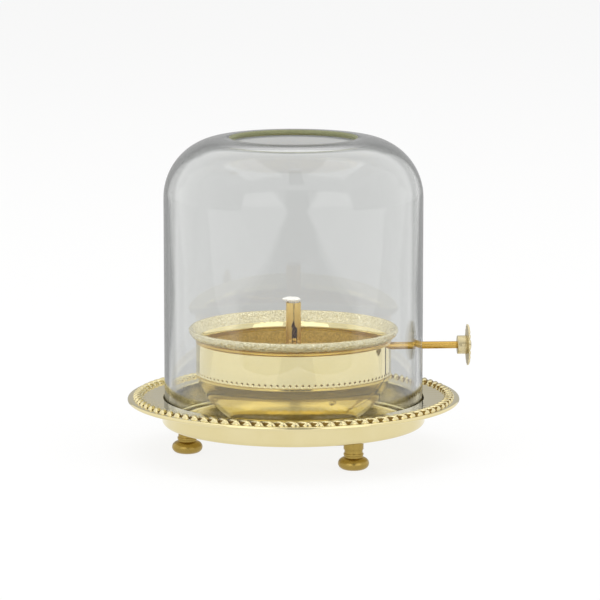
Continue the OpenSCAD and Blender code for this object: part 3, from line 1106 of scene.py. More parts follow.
    def lower(self, base: Point, crease: Point) -> list[Point]:
        """The arc of the lower bowl, which runs smoothly into the shoulder.

        Args:
            base: Edge of the base.
            crease: End of the shoulder.

        Returns:
            The points from base to crease.
        """
        chord = np.subtract(crease, base)
        lean = math.pi / 2 - math.atan2(chord[1], chord[0]) - math.radians(self.crease_slope)
        return bulge(base, crease, float(np.hypot(*chord)) / 2 * math.tan(lean / 2), self.curve_steps)

    def build(self, axis_point: Vector) -> None:
        """Makes the bowl.

        Args:
            axis_point: Point on the spindle's axis, which the hole in the wall lies on.
        """
        low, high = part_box("bowl")
        stretches = self.stretches()
        turns = self.punch_count * self.steps_per_punch
        zones = np.array([zone.value for zone, points in stretches for _ in points])[:, None]
        radius, height = columns([point for _, points in stretches for point in points])
        rows = len(radius)
        angles = np.arange(turns) * TAU / turns
        aside = np.abs((angles * self.punch_count / TAU) % 1 - 0.5) * TAU * radius / self.punch_count
        above = np.abs(height - low.z - self.punch_h)
        notch = np.clip(1 - aside / self.punch_w - above / self.punch_rise, 0, 1)
        stipple = self.stipple * grain(rows, turns, 1, self.stipple_seed)
        hammer = self.hammer * grain(rows, turns, 1, self.hammer_seed)
        is_punched = zones == Zone.PUNCHED.value
        relief = np.where(is_punched, -self.punch_depth * notch, 0)
        relief += np.where(zones == Zone.STIPPLED.value, stipple, 0)
        relief += np.where(zones == Zone.HAMMERED.value, hammer, 0)
        out_r, out_z = normals(radius, height)
        bowl = turned("bowl_cast", radius + relief * out_r, height + relief * out_z, turns)
        finish_in = {
            Zone.BUFFED: POLISHED_BRASS,
            Zone.PUNCHED: POLISHED_BRASS,
            # The stippled lip carries painted glints on a painted dark reflection
            Zone.STIPPLED: STIPPLED_BRASS_GLINTS,
            # The inside is partly painted shade, with painted glints
            Zone.HAMMERED: CAST_BRASS_SHADE_AND_GLINTS,
            # The neck groove's deeper gold is painted shade
            Zone.GROOVED: GROOVE_SHADE_BRASS,
            Zone.CLOUDED: CLOUDED_BRASS,
        }
        finishes = [POLISHED_BRASS, STIPPLED_BRASS_GLINTS, CAST_BRASS_SHADE_AND_GLINTS, RECESS_SHADE_BRASS]
        finishes += [GROOVE_SHADE_BRASS, CLOUDED_BRASS]
        number_in = {zone.value: finishes.index(finish) for zone, finish in finish_in.items()}
        row_numbers = np.array([number_in[zone] for zone in zones[:, 0]], np.int32)
        finish_of = np.repeat(row_numbers[:, None], turns, 1)
        # Painted shade: the deep part of each punch mark gets the dark brown finish
        finish_of[(notch > self.shade_from) & is_punched] = finishes.index(RECESS_SHADE_BRASS)
        bowl.data.polygons.foreach_set("material_index", finish_of.ravel())
        dress(bowl, Body.BASE, Slot.POLISHED, "bowl", *finishes)
        start, stop = (share * high.y for share in self.drill_reach)
        hole = drill("drill", self.spindle_hole_d / 2, start, stop, SCREW_ROUND)
        cut(bowl, along_x(hole, axis_point), Edge.EMBOSSED)


@dataclass
class WickHolder:
    """The socket, the rolled wick tube with its ragged seam, and the bracket.

    The seam opens into a slot. The places of the sheet's two edges are distances from the front line: in
    the seam, in the slot, at the slot's top and at the kink above it.
    """

    tube_wall: float = 0.6 * MM
    tube_steps: int = 64
    tube_gap: float = 0.05 * MM
    row_step: float = 0.8 * MM
    row_start: float = 1 * MM
    seam: float = 0.15 * MM
    seam_foot: float = 61.6 * MM
    kink_z: float = 58.8 * MM
    kink_left: float = 1.2 * MM
    kink_right: float = 0.6 * MM
    slot_top: float = 57.9 * MM
    top_left: float = 0.75 * MM
    top_right: float = 1.6 * MM
    slot_taper: float = 2.5 * MM
    slot_bottom: float = 44.1 * MM
    slot_sill: float = 0.01 * MM
    slot_left: float = 1.1 * MM
    slot_right: float = 1.5 * MM
    rag: float = 0.07 * MM
    rag_seed: int = 3
    feed_hole_d: float = 3 * MM
    feed_hole_z: float = 33.1 * MM
    feed_hole_steps: int = 32
    screw_hole_r: float = 2.55 * MM
    socket_rounding: float = 0.3 * MM
    strip_t: float = 1.2 * MM
    fold_out: float = 0.6 * MM
    fold_in: float = 0.2 * MM

    def edges(self, height: float) -> Point:
        """Where the rolled sheet's two edges are, left and right of the front line.

        Args:
            height: Height on the tube.

        Returns:
            Distances to the left and to the right.
        """
        heights = [self.slot_bottom - self.slot_sill, self.slot_bottom, self.slot_top - self.slot_taper]
        heights += [self.slot_top, self.kink_z, self.seam_foot]
        left = [self.seam, self.slot_left, self.slot_left, self.top_left, self.kink_left, self.seam]
        right = [self.seam, self.slot_right, self.slot_right, self.top_right, self.kink_right, self.seam]
        return float(np.interp(height, heights, left)), float(np.interp(height, heights, right))

    def tube(self) -> bpy.types.Object:
        """Makes the rolled tube.

        Returns:
            The tube.
        """
        low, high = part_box("wick_tube")
        outer = high.x
        inner = outer - self.tube_wall
        marks = {low.z, self.slot_bottom - self.slot_sill, self.slot_bottom, self.slot_top}
        marks |= {self.kink_z, self.seam_foot, high.z}
        heights = sorted(marks | set(np.arange(low.z + self.row_start, high.z, self.row_step)))
        rag = np.random.default_rng(self.rag_seed).uniform(-self.rag, self.rag, (len(heights), 2))
        points: list[Corner] = []
        for z, (rag_left, rag_right) in zip(heights, rag):
            left, right = self.edges(z)
            start = -math.pi / 2 + math.asin((right + rag_right) / outer)
            stop = 1.5 * math.pi - math.asin((left + rag_left) / outer)
            sweep = np.linspace(start, stop, self.tube_steps + 1)
            points += [(outer * math.cos(a), outer * math.sin(a), z) for a in sweep]
            points += [(inner * math.cos(a), inner * math.sin(a), z) for a in sweep[::-1]]
        loop = 2 * (self.tube_steps + 1)
        faces = []
        for i in range(len(heights) - 1):
            for j in range(loop):
                a, b = i * loop + j, i * loop + (j + 1) % loop
                faces.append([a, b, b + loop, a + loop])
        top = (len(heights) - 1) * loop
        for j in range(self.tube_steps):
            inside = loop - 1 - j
            faces.append([inside, inside - 1, j + 1, j])
            faces.append([top + j, top + j + 1, top + inside - 1, top + inside])
        tube = piece("wick_tube_rolled", np.array(points), faces)
        hole = drill("feed_drill", self.feed_hole_d / 2, -2 * outer, 2 * outer, self.feed_hole_steps)
        return cut(tube, along_x(hole, Vector((0, 0, self.feed_hole_z))), Edge.ROUNDED)

    def socket(self) -> bpy.types.Object:
        """Makes the socket that the tube stands in.

        Returns:
            The socket.
        """
        low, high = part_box("wick_socket")
        tube_low, tube_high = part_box("wick_tube")
        bore = tube_high.x + self.tube_gap
        hole, seat = self.screw_hole_r, tube_low.z
        corners = [(hole, low.z), (high.x, low.z), (high.x, high.z), (bore, high.z), (bore, seat)]
        corners += [(hole, seat), (hole, low.z)]
        return turned("wick_socket_turned", *columns(rounded(corners, self.socket_rounding)), ROUND)

    def bracket(self) -> bpy.types.Object:
        """Makes the folded strip that carries the spindle's inner end.

        Returns:
            The bracket.
        """
        low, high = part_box("winder_bracket")
        left, right, web = low.x + self.strip_t, high.x - self.strip_t, low.z + self.strip_t
        outside = [(low.x, high.z), (low.x, low.z), (high.x, low.z), (high.x, high.z)]
        inside = [(right, high.z), (right, web), (left, web), (left, high.z)]
        outline = rounded(outside, self.fold_out) + rounded(inside, self.fold_in)
        strip = prism("winder_bracket_folded", outline, low.y, high.y)
        tube_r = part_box("wick_tube")[1].x + self.tube_gap
        return cut(strip, drill("tube_clear", tube_r, 0.0, 2 * high.z, ROUND))

    def build(self) -> None:
        """Makes the holder's pieces."""
        dress(self.tube(), Body.BASE, Slot.DRAWN, "wick_tube", DRAWN_TUBE_BRASS)
        dress(self.socket(), Body.BASE, Slot.POLISHED, "wick_socket", POLISHED_BRASS)
        dress(self.bracket(), Body.BASE, Slot.DRAWN, "winder_bracket", DRAWN_TUBE_BRASS)


@dataclass
class Wick:
    """The wick: a twisted cord whose frayed tip spreads out over the tube's rim.

    Fibres leave the cord within fibre_root, rise to a crest, and sag towards the edge of the cap, from
    the share sag_from of their length on. The cap's lumps and its shift to the left start at lump_from
    above the rim.
    """

    strand_count: int = 6
    strand_r: float = 0.8 * MM
    strand_ring: float = 1.6 * MM
    strand_steps: int = 56
    strand_past: float = 0.9 * MM
    twist: float = 15 * MM
    thread_sides: int = 7
    fibre_count: int = 220
    fibre_r: float = 0.16 * MM
    fibre_points: int = 7
    fibre_root: float = 2.0 * MM
    fibre_reach: Point = (0.35, 1.0)
    fibre_rise: Point = (0.55, 1.0)
    fibre_bend: float = 0.5
    fibre_taper: float = 0.55
    fibre_seed: int = 21
    lean: float = 0.12
    spread_power: float = 1.6
    crest_pace: float = 1.7
    sag_from: float = 0.45
    edge_rise: float = 0.25 * MM
    edge_spread: float = 0.5 * MM
    cap_r: float = 4.0 * MM
    cap_shift: float = -0.9 * MM
    cap_clear: float = 1.05 * MM
    cap_rows: int = 28
    cap_turns: int = 72
    cap_lumps: float = 0.35 * MM
    cap_dents: float = 0.12 * MM
    cap_rise: float = 0.8
    cap_seeds: tuple[int, int] = (5, 6)
    lump_from: float = 1.0 * MM
    lump_fade: float = 0.3 * MM
    white_from_below_rim: float = 0.5 * MM

    def strands(self) -> tuple[list[np.ndarray], list[np.ndarray]]:
        """The twisted strands round a straight one.

        Returns:
            Their centre lines and radii.
        """
        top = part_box("wick_tube")[1].z + self.strand_past
        heights = np.linspace(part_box("wick")[0].z, top, self.strand_steps)
        paths = [np.stack([0 * heights, 0 * heights, heights], 1)]
        for i in range(self.strand_count):
            angles = i * TAU / self.strand_count + heights / self.twist * TAU
            ring = self.strand_ring
            paths.append(np.stack([ring * np.cos(angles), ring * np.sin(angles), heights], 1))
        return paths, [np.full(len(heights), self.strand_r) for _ in paths]

    def fibres(self) -> tuple[list[np.ndarray], list[np.ndarray]]:
        """The fibres of the frayed tip.

        Returns:
            Their centre lines and radii.
        """
        rng = np.random.default_rng(self.fibre_seed)
        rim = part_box("wick_tube")[1].z
        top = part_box("wick")[1].z
        lowest = rim + self.cap_clear
        paths: list[np.ndarray] = []
        radii: list[np.ndarray] = []
        steps = np.linspace(0, 1, self.fibre_points)
        for _ in range(self.fibre_count):
            angle = rng.uniform(0, TAU)
            start_r = self.fibre_root * math.sqrt(rng.uniform(0, 1))
            reach = self.cap_r * rng.uniform(*self.fibre_reach) * (1 - self.lean * math.cos(angle))
            crest = lowest + (top - lowest) * rng.uniform(*self.fibre_rise)
            turn = angle + rng.uniform(-self.fibre_bend, self.fibre_bend) * steps**2
            edge = lowest + self.edge_rise + rng.uniform(0, self.edge_spread)
            out = start_r + (reach - start_r) * steps**self.spread_power
            sag = (reach / self.cap_r) ** 2 * np.clip(steps - self.sag_from, 0, 1) / (1 - self.sag_from)
            z = rim + (crest - rim) * np.sin(np.minimum(steps * self.crest_pace, 1) * math.pi / 2)
            z = np.minimum(z + (edge - crest) * sag, top - self.fibre_r)
            x = out * np.cos(turn) + self.cap_shift * steps
            paths.append(np.stack([x, out * np.sin(turn), z], 1))
            radii.append(self.fibre_r * (1 - self.fibre_taper * steps))
        return paths, radii

    def cap(self) -> bpy.types.Object:
        """Makes the lump of matted cotton that the fibres stand out of.

        Returns:
            The cap.
        """
        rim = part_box("wick_tube")[1].z
        # Radius and height over the rim in millimetres: up the neck, out under the cap and over its top
        section = [(0.5, 0.2), (2.5, 0.2), (2.5, 0.9), (3.3, 1.0), (3.9, 1.15), (4.0, 1.4), (3.8, 1.75)]
        section += [(3.0, 2.0), (2.0, 2.15), (1.0, 2.25), (0.3, 2.25)]
        corners = np.arange(len(section))
        rows = np.linspace(0, len(section) - 1, self.cap_rows)
        radius, height = (np.interp(rows, corners, side) * MM for side in np.array(section).T)
        spread = np.clip((height - self.lump_from) / self.lump_fade, 0, 1)[:, None]
        lumps, dents = (grain(self.cap_rows, self.cap_turns, 2, seed) for seed in self.cap_seeds)
        radius = radius[:, None] + self.cap_lumps * lumps * spread
        height = height[:, None] + self.cap_dents * np.clip(dents, -1, self.cap_rise) * spread
        cap = turned("wick_cap", radius, rim + height, self.cap_turns, ring=False)
        for vertex in cap.data.vertices:
            share = (vertex.co.z - rim - self.lump_from) / self.lump_fade
            vertex.co.x += self.cap_shift * min(1, max(0, share))
        return cap

    def build(self) -> None:
        """Makes the wick."""
        strands, strand_radii = self.strands()
        fibres, fibre_radii = self.fibres()
        threads = tubes("wick_threads", strands + fibres, strand_radii + fibre_radii, self.thread_sides)
        wick = joined("wick_twisted", [threads, self.cap()])
        white_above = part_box("wick_tube")[1].z - self.white_from_below_rim
        # Cotton, twisted and frayed at its tip: matt white, and brown below the rim, partly from the oil it
        # stood in and partly painted shade inside the tube
        cotton = Cotton("twisted_cotton_frayed", "#F7F4EE", "#5A4028", white_above)
        dress(wick, Body.WICK, Slot.COTTON, "wick", cotton)


@dataclass
class Winder:
    """The spindle with its bush, wheel and knob.

    The rosette's heights are shares of its thickness, and its places shares of the way to its rim.
    """

    bearing_r: float = 1.7 * MM
    rod_rounding: float = 0.2 * MM
    rounding: float = 0.25 * MM
    teeth: int = 12
    tooth_h: float = 0.9 * MM
    tooth_flank: float = 1.3
    tooth_rounding: float = 0.15 * MM
    steps_per_tooth: int = 8
    lobes: int = 20
    lobe_r: float = 1.4 * MM
    steps_per_lobe: int = 14
    rosette_bore: float = 1.05 * MM
    plate_flat: float = 0.6
    plate_lobed: float = 0.63
    flat_rows: int = 7
    lobed_rows: int = 19
    plate_front: float = 0.45
    dish_from: float = 0.5
    dish_w: float = 0.3
    dish_front: float = 0.1
    dish_back: float = 0.15
    petal_rise: float = 0.65
    curl_from: float = 0.85
    curl_rise: float = 0.1
    screw_d: float = 2 * MM
    screw_head_h: float = 1.0 * MM
    screw_slot_w: float = 0.7 * MM
    grub_recess: float = 0.8 * MM
    grub_steps: int = 24

    def axis_point(self) -> Vector:
        """A point on the spindle's axis."""
        joint = next(j for j in frame["joints"] if j["name"] == "knob_turn")
        return Vector((0, joint["pos_m"][1], joint["pos_m"][2]))

    def rod(self) -> bpy.types.Object:
        """Makes the spindle.

        Returns:
            The spindle.
        """
        low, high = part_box("spindle")
        section = rounded(solid((high.z - low.z) / 2, low.x, high.x), self.rod_rounding)
        return along_x(turned("spindle_drawn", *columns(section), ROUND, ring=False), self.axis_point())

    def bush(self, node: str, name: str) -> bpy.types.Object:
        """A turned bush on the spindle that fills a node's box.

        Args:
            node: CAD node.
            name: Name of the object.

        Returns:
            The object.
        """
        low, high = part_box(node)
        section = rounded(hollow(self.bearing_r, (high.z - low.z) / 2, low.x, high.x), self.rounding)
        return along_x(turned(name, *columns(section), ROUND), self.axis_point())

    def wheel(self) -> bpy.types.Object:
        """Makes the toothed wheel.

        Returns:
            The wheel.
        """
        low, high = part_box("winder_wheel")
        tip = (high.y - low.y) / 2
        bore = self.bearing_r
        turns = self.teeth * self.steps_per_tooth
        phase = np.arange(turns) / self.steps_per_tooth % 1
        rim = tip - self.tooth_h * np.clip(2 * np.minimum(phase, 1 - phase) * self.tooth_flank, 0, 1)
        radius, height = columns(rounded(hollow(bore, tip, low.x, high.x), self.tooth_rounding))
        radius = bore + (radius - bore) * (rim - bore) / (tip - bore)
        return along_x(turned("winder_wheel_cut", radius, height, turns), self.axis_point())

    def rosette(self) -> bpy.types.Object:
        """Makes the stamped rosette: a dished plate whose lobes stand up as rounded petals.

        Returns:
            The rosette.
        """
        low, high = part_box("knob_rosette")
        ring = (high.z - low.z) / 2 - self.lobe_r
        bore = self.rosette_bore
        turns = self.lobes * self.steps_per_lobe
        share = np.abs((np.arange(turns) / self.steps_per_lobe) % 1 - 0.5) * 2
        from_lobe = (1 - share) * math.pi / self.lobes
        bow = np.clip(self.lobe_r**2 - (ring * np.sin(from_lobe)) ** 2, 0, None)
        rim = ring * np.cos(from_lobe) + np.sqrt(bow)
        flat_part = np.linspace(0, self.plate_flat, self.flat_rows)
        lobed_part = np.linspace(self.plate_lobed, 1, self.lobed_rows)
        plate = np.concatenate([flat_part, lobed_part])[:, None]
        reach = bore + plate * (rim - bore)
        apart = np.hypot(reach - ring, ring * from_lobe)
        petal = np.sqrt(np.clip(1 - (apart / self.lobe_r) ** 2, 0, 1))
        dish = np.clip((plate - self.dish_from) / self.dish_w, 0, 1)
        curl = np.clip((plate - self.curl_from) / (1 - self.curl_from), 0, 1)
        front = self.plate_front - self.dish_front * dish + self.petal_rise * petal
        back = self.dish_back * dish + self.curl_rise * curl
        shares = np.clip(np.concatenate([back * np.ones(turns), front[::-1]]), 0, 1)
        height = low.x + (high.x - low.x) * shares
        radius = np.concatenate([reach, reach[::-1]])
        rosette = turned("knob_rosette_stamped", radius, height, turns, edge=Edge.EMBOSSED)
        return along_x(rosette, self.axis_point())

    def knob_screw(self) -> bpy.types.Object:
        """Makes the screw that holds the rosette.

        Returns:
            The screw.
        """
        low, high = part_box("knob_screw")
        seat = high.x - self.screw_head_h
        sizes = (self.screw_d, high.z - low.z, self.screw_head_h, self.screw_slot_w)
        screw = SlottedScrew("knob_screw_slotted", low.x, seat, *sizes).build()
        return along_x(screw, self.axis_point())

    def grub_screw(self) -> bpy.types.Object:
        """Makes the hub's grub screw, with a recess in its top.

        Returns:
            The screw.
        """
        low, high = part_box("hub_grub_screw")
        radius = (high.x - low.x) / 2
        floor = high.z - self.grub_recess
        corners = [*solid(radius, low.z, high.z), (radius / 2, floor), (radius / 4, floor)]
        grub = turned("hub_grub_screw_set", *columns(corners), self.grub_steps, ring=False)
        return shifted(grub, Vector(((low.x + high.x) / 2, (low.y + high.y) / 2, 0)))

    def build(self) -> None:
        """Makes the winder's pieces."""
        dress(self.rod(), Body.WINDER, Slot.DRAWN, "spindle", DRAWN_ROD_BRASS)
        bush = self.bush("spindle_bush", "spindle_bush_turned")
        dress(bush, Body.BASE, Slot.DRAWN, "spindle_bush", DRAWN_ROD_BRASS)
        dress(self.wheel(), Body.WINDER, Slot.DRAWN, "winder_wheel", DRAWN_ROD_BRASS)
        hub = self.bush("knob_hub", "knob_hub_turned")
        dress(hub, Body.WINDER, Slot.POLISHED, "knob_hub", TUMBLED_BRASS)
        dress(self.rosette(), Body.WINDER, Slot.POLISHED, "knob_rosette", TUMBLED_BRASS)
        dress(self.knob_screw(), Body.WINDER, Slot.POLISHED, "knob_screw", POLISHED_BRASS)
        dress(self.grub_screw(), Body.WINDER, Slot.STEEL, "hub_grub_screw", ZINC_STEEL)


@dataclass
class Clamp:
    """The screw and washers that hold tray, bowl and socket together."""

    bore: float = 2.7 * MM
    rounding: float = 0.2 * MM
    head_h: float = 2.5 * MM
    shank_d: float = 5 * MM
    slot_w: float = 1.2 * MM

    def washer(self, node: str, name: str) -> bpy.types.Object:
        """A flat washer with softened edges that fills a node's box.

        Args:
            node: CAD node.
            name: Name of the object.

        Returns:
            The object.
        """
        low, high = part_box(node)
        section = rounded(hollow(self.bore, high.x, low.z, high.z), self.rounding)
        return turned(name, *columns(section), ROUND)

    def screw(self) -> bpy.types.Object:
        """Makes the screw, with its head below the tray.

        Returns:
            The screw.
        """
        low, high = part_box("clamp_screw")
        seat = -low.z - self.head_h
        sizes = (self.shank_d, high.x - low.x, self.head_h, self.slot_w)
        screw = SlottedScrew("clamp_screw_slotted", -high.z, seat, *sizes).build()
        screw.data.transform(Matrix.Rotation(math.pi, 4, "X"))
        return screw

    def build(self) -> None:
        """Makes the clamp's pieces."""
        dress(self.screw(), Body.BASE, Slot.STEEL, "clamp_screw", ZINC_STEEL)
        washer = self.washer("clamp_washer", "clamp_washer_flat")
        dress(washer, Body.BASE, Slot.STEEL, "clamp_washer", ZINC_STEEL)
        seal = self.washer("seal_washer", "seal_washer_cut")
        dress(seal, Body.BASE, Slot.RUBBER, "seal_washer", NITRILE)


@dataclass
class GlassDome:
    """The moulded bell: open below, with a vent in its top and a notch for the spindle."""

    wall: float = 2.5 * MM
    wall_step: float = 6 * MM
    shoulder_r: float = 27.5 * MM
    shoulder_steps: int = 40
    rim_steps: int = 14
    vent_ring: float = 3.5 * MM
    vent_steps: int = 16
    vent_margin: float = 0.1 * MM
    notch_w: float = 9 * MM
    notch_steps: int = 24
    turns: int = 320

    def vent_r(self) -> float:
        """Radius of the vent."""
        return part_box("glass_dome")[1].y - self.shoulder_r - self.vent_ring

    def outline(self) -> list[Point]:
        """The bell's section.

        Returns:
            The points up the outside and down the inside.
        """
        low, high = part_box("glass_dome")
        outer = high.y
        inner = outer - self.wall
        edge = self.wall / 2
        rim = low.z + edge
        centre = (outer - self.shoulder_r, high.z - self.shoulder_r)
        return [
            *arc((outer - edge, rim), edge, -180, 0, self.rim_steps)[:-1],
            *line((outer, rim), (outer, centre[1]), self.wall_step)[:-1],
            *arc(centre, self.shoulder_r, 0, 90, self.shoulder_steps),
            *arc((self.vent_r() + edge, high.z - edge), edge, 90, 270, self.vent_steps),
            *arc(centre, self.shoulder_r - self.wall, 90, 0, self.shoulder_steps),
            *line((inner, centre[1]), (inner, rim), self.wall_step)[1:-1],
        ]

    def notch(self, axis_point: Vector) -> bpy.types.Object:
        """Makes the cutter for the notch.

        Args:
            axis_point: Point on the spindle's axis, which the notch goes round.

        Returns:
            The cutter.
        """
        low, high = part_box("glass_dome")
        half = self.notch_w / 2
        below = low.z - half
        shape = [(axis_point.y - half, below), (axis_point.y + half, below)]
        shape += arc((axis_point.y, axis_point.z), half, 0, 180, self.notch_steps)
        cutter = prism("notch", shape, high.y - 2 * half, high.y + half)
        cutter.data.transform(X_FOR_Y)
        cutter.data.flip_normals()
        return cutter

    def build(self, axis_point: Vector) -> None:
        """Makes the dome.

        Args:
            axis_point: Point on the spindle's axis, which the notch goes round.
        """
        dome = turned("glass_dome_moulded", *columns(self.outline()), self.turns)
        cut(dome, self.notch(axis_point))
        finishes = [CLEAR_GLASS, GLASS_EDGE]
        dress(dome, Body.DOME, Slot.GLASS, "glass_dome", *finishes)
        edge_r = self.vent_r() + self.wall / 2
        edge_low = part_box("glass_dome")[1].z - self.wall - self.vent_margin
        for face in dome.data.polygons:
            if face.center.z > edge_low and math.hypot(face.center.x, face.center.y) < edge_r:
                face.material_index = finishes.index(GLASS_EDGE)
        dome.visible_shadow = False


# Studio


@dataclass
class Card:
    """A card that mirrors and glass see and the camera doesn't, as a studio hangs to shape reflections."""

    name: str
    panels: Sequence[Sequence[Corner]]
    level: float
    through_glass: bool = True

    def build(self) -> None:
        """Makes the card."""
        points = [corner for panel in self.panels for corner in panel]
        faces: list[list[int]] = []
        for panel in self.panels:
            base = sum(len(face) for face in faces)
            faces.append(list(range(base, base + len(panel))))
        card = piece(self.name, np.array(points), faces)
        material, tree = new_material(self.name + "_paint")
        shader = add_node(tree, "ShaderNodeEmission", {"Color": linear("#FFFFFF"), "Strength": self.level})
        add_node(tree, "ShaderNodeOutputMaterial", {"Surface": shader.outputs["Emission"]})
        card.data.materials.append(material)
        card.visible_camera = False
        card.visible_diffuse = False
        card.visible_shadow = False
        card.visible_transmission = self.through_glass


def laid(outline: Sequence[Point], height: float, side: int = 1) -> list[Corner]:
    """A level panel from an outline in X and Y, mirrored to the left where side is -1."""
    return [(side * x, y, height) for x, y in outline]


def stood(outline: Sequence[Point], away: float, side: int = 1) -> list[Corner]:
    """An upright panel from an outline in X and Z, mirrored to the left where side is -1."""
    return [(side * x, away, z) for x, z in outline]


@dataclass
class Cards:
    """The cards round the lamp: grey behind it, bright at its sides and above, and a dark gap in front.

    Outlines are given for the right side, in X and Y for level panels and in X and Z for upright ones. The
    gap has layers of a share of its width and a level each, from pale to dark, so that its edge is soft.
    """

    layer: float = 1 * MM
    top: float = 1.6
    front: float = -1.20
    back: float = 1.6
    outer: float = 1.40
    sweep: tuple[Point, ...] = ((0.10, 0.085), (0.187, 0.208), (0.385, 0.34), (0.9, 1.6))
    sweep_h: float = 1.2
    sweep_level: float = 0.56
    ceiling_half: float = 2.2
    ceiling_level: float = 1.1
    ceiling_gap: tuple[Point, ...] = ((0.20, -1.3), (0.09, -0.3))
    ceiling_gap_level: float = 0.5
    near: tuple[Point, ...] = (
        (0.09, -0.21),
        (0.10, -0.45),
        (1.20, -0.45),
        (1.20, 0.08),
        (0.22, 0.08),
        (0.18, -0.12),
    )
    far: tuple[Point, ...] = ((0.10, -0.32), (0.10, -1.20), (1.40, -1.20), (1.40, -0.10), (0.50, -0.16))
    far_inner: float = 0.10
    far_h: float = 0.25
    soft_inner: float = 0.22
    soft_h: float = 1.0
    over: tuple[Point, ...] = ((0.20, -0.65), (0.40, 0.00), (0.40, 0.60), (1.10, 0.60), (1.10, -0.65))
    over_level: float = 1.7
    rear: tuple[Point, ...] = ((1.3, -0.3), (1.1, 1.4))
    rear_h: float = 0.9
    side_level: float = 1.1
    bright_level: float = 1.8
    gap_layers: tuple[Point, ...] = ((1.12, 1.3), (1.0, 0.75), (0.88, 0.2))
    gap_near: Point = (0.24, -0.22)
    gap_middle: Point = (0.0, -0.32)
    gap_floor: tuple[Point, ...] = (
        (0.41, -0.34),
        (0.36, -0.46),
        (0.30, -0.59),
        (0.24, -0.73),
        (0.18, -0.88),
        (0.16, -1.20),
    )
    gap_wall: tuple[Point, ...] = ((0.16, 0.0), (0.20, 0.20), (0.32, 0.50), (0.48, 1.00))

    def behind_and_above(self) -> None:
        """Makes the grey sweep behind the lamp and the ceiling with its gap."""
        half = self.sweep[-1][0]
        floor = laid(both_sides(self.sweep), self.layer)
        wall = stood(oblong(-half, half, self.layer, self.sweep_h), self.back)
        Card("grey_sweep", [floor, wall], self.sweep_level).build()
        half = self.ceiling_half
        Card("ceiling", [laid(oblong(-half, half, -half, half), self.top)], self.ceiling_level).build()
        gap = laid(both_sides(self.ceiling_gap), self.top - 2 * self.layer)
        Card("ceiling_gap", [gap], self.ceiling_gap_level).build()

    def beside(self) -> None:
        """Makes the bright cards on both sides."""
        far_wall = oblong(self.far_inner, self.outer, self.layer, self.far_h)
        soft_wall = oblong(self.soft_inner, self.outer, self.far_h, self.soft_h)
        for name, side in (("left", -1), ("right", 1)):
            near = laid(self.near, self.layer, side)
            far = [laid(self.far, 1.5 * self.layer, side), stood(far_wall, self.front, side)]
            over = laid(self.over, self.top - self.layer, side)
            rear = laid(self.rear, self.layer, side) + laid(self.rear[::-1], self.rear_h, side)
            Card(name + "_near_card", [near], self.side_level).build()
            Card(name + "_far_card", far, self.bright_level, through_glass=False).build()
            Card(name + "_soft_card", [stood(soft_wall, self.front, side)], self.bright_level).build()
            Card(name + "_top_card", [over], self.over_level).build()
            Card(name + "_back_card", [rear], self.side_level).build()

    def in_front(self) -> None:
        """Makes the dark gap between the cards in front, layer by layer."""
        x, y = self.gap_near
        outline = [*both_sides(self.gap_floor), (-x, y), self.gap_middle, (x, y)]
        for number, (share, level) in enumerate(self.gap_layers):
            floor = [(share * right, away) for right, away in outline]
            wall = [(share * right, up) for right, up in both_sides(self.gap_wall)]
            height = (number + 2) * self.layer
            away = self.front + (number + 1) * self.layer
            panels = [laid(floor, height), stood(wall, away)]
            Card("gap_%d" % number, panels, level, through_glass=False).build()


@dataclass(frozen=True)
class SoftBox:
    """A soft lamp, whose level is its brightness where 1 is white."""

    name: str
    place: Corner
    size: Point
    level: float

    def build(self, aim: Vector) -> None:
        """Makes the lamp.

        Args:
            aim: Point that it faces.
        """
        data = bpy.data.lights.new(self.name, "AREA")
        data.shape = "RECTANGLE"
        data.size, data.size_y = self.size
        data.energy = self.level * math.pi * self.size[0] * self.size[1]
        light = bpy.data.objects.new(self.name, data)
        light.location = self.place
        light.rotation_mode = "QUATERNION"
        light.rotation_quaternion = (aim - Vector(self.place)).to_track_quat("-Z", "Y")
        light.visible_glossy = False
        light.visible_transmission = False
        bpy.context.scene.collection.objects.link(light)


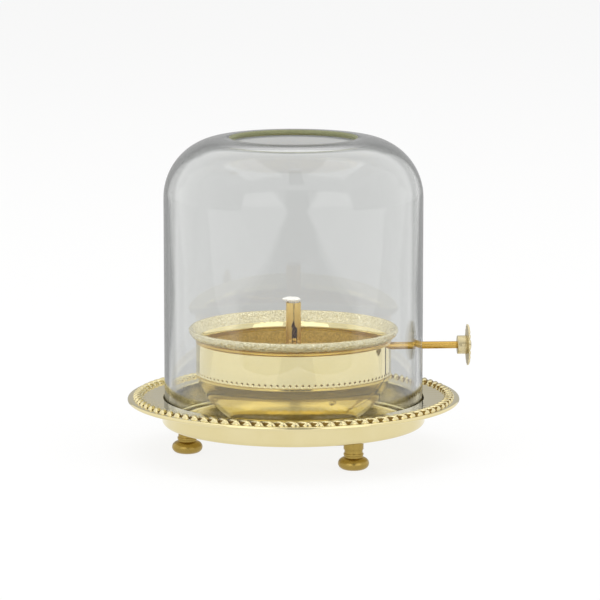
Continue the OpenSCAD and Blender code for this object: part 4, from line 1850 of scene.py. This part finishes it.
@dataclass
class Studio:
    """A white floor, soft lamps, cards and the camera."""

    floor_half: float = 6.0
    floor_white: float = 0.85
    ambient: float = 0.55
    azimuth: float = -3.567
    elevation: float = 9.095
    distance: float = 1.712
    lens: float = 225.0
    sensor: float = 36.0
    aim_right: float = 2.967 * MM
    aim_up: float = 70.34 * MM
    lamps: tuple[SoftBox, ...] = (
        SoftBox("overhead", (0, 0, 1.5), (2.0, 2.0), 1.5),
        SoftBox("left", (-1.5, -0.9, 0.8), (0.9, 1.2), 1.6),
        SoftBox("right", (1.5, -0.9, 0.8), (0.9, 1.2), 1.6),
    )

    def seen_white(self, tree: bpy.types.NodeTree) -> bpy.types.NodeSocket:
        """Tells rays that see a surface from rays that light one.

        Args:
            tree: Node tree of the material or world.

        Returns:
            One where a ray comes from the camera, a mirror or glass, and otherwise zero.
        """
        path = add_node(tree, "ShaderNodeLightPath").outputs
        seen = path["Is Camera Ray"]
        for kind in ("Is Glossy Ray", "Is Transmission Ray"):
            seen = add_node(tree, "ShaderNodeMath", {0: seen, 1: path[kind]}, operation="MAXIMUM").outputs[0]
        return seen

    def floor(self) -> None:
        """Makes the white floor, which keeps the lamp's soft shadow."""
        half = self.floor_half
        floor = piece("floor", np.array(laid(oblong(-half, half, -half, half), 0)), [[0, 1, 2, 3]])
        material, tree = new_material("white_table_paint")
        lit = add_node(tree, "ShaderNodeBsdfDiffuse", {"Color": linear("#F4F4F2")}).outputs["BSDF"]
        glow = {"Color": linear("#FFFFFF"), "Strength": 1.0}
        white = add_node(tree, "ShaderNodeEmission", glow).outputs["Emission"]
        shares = {0: self.seen_white(tree), 1: self.floor_white}
        share = add_node(tree, "ShaderNodeMath", shares, operation="MULTIPLY").outputs[0]
        mixed = add_node(tree, "ShaderNodeMixShader", {0: share, 1: lit, 2: white})
        add_node(tree, "ShaderNodeOutputMaterial", {"Surface": mixed.outputs["Shader"]})
        floor.data.materials.append(material)

    def world(self) -> None:
        """Makes the surroundings: white to look at, and an even soft light."""
        world = bpy.data.worlds.new("studio")
        bpy.context.scene.world = world
        world.use_nodes = True
        tree = world.node_tree
        tree.nodes.clear()
        span = {"Value": self.seen_white(tree), "To Min": self.ambient, "To Max": 1.0}
        level = add_node(tree, "ShaderNodeMapRange", span).outputs["Result"]
        light = add_node(tree, "ShaderNodeBackground", {"Color": linear("#FFFFFF"), "Strength": level})
        add_node(tree, "ShaderNodeOutputWorld", {"Surface": light.outputs["Background"]})

    def camera(self) -> None:
        """Makes the camera at the photograph's angle."""
        a, e = math.radians(self.azimuth), math.radians(self.elevation)
        back = Vector((math.sin(a) * math.cos(e), -math.cos(a) * math.cos(e), math.sin(e)))
        right = Vector((math.cos(a), math.sin(a), 0))
        data = bpy.data.cameras.new("camera")
        data.lens = self.lens
        data.sensor_width = self.sensor
        camera = bpy.data.objects.new("camera", data)
        camera.location = right * self.aim_right + Vector((0, 0, self.aim_up)) + back * self.distance
        camera.rotation_mode = "QUATERNION"
        camera.rotation_quaternion = (-back).to_track_quat("-Z", "Y")
        bpy.context.scene.collection.objects.link(camera)
        bpy.context.scene.camera = camera

    def build(self) -> None:
        """Makes the studio."""
        bpy.context.scene.view_settings.view_transform = "Standard"
        self.camera()
        self.floor()
        self.world()
        for lamp in self.lamps:
            lamp.build(Vector((0, 0, self.aim_up)))
        cards = Cards()
        cards.behind_and_above()
        cards.beside()
        cards.in_front()


def main() -> None:
    """Builds the studio and the lamp, sub-assembly by sub-assembly."""
    logging.basicConfig(level=logging.INFO, format="%(name)s: %(message)s")
    winder = Winder()
    Studio().build()
    Tray().build()
    Feet().build()
    Bowl().build(winder.axis_point())
    WickHolder().build()
    Wick().build()
    winder.build()
    Clamp().build()
    GlassDome().build(winder.axis_point())


if __name__ == "__main__":
    main()
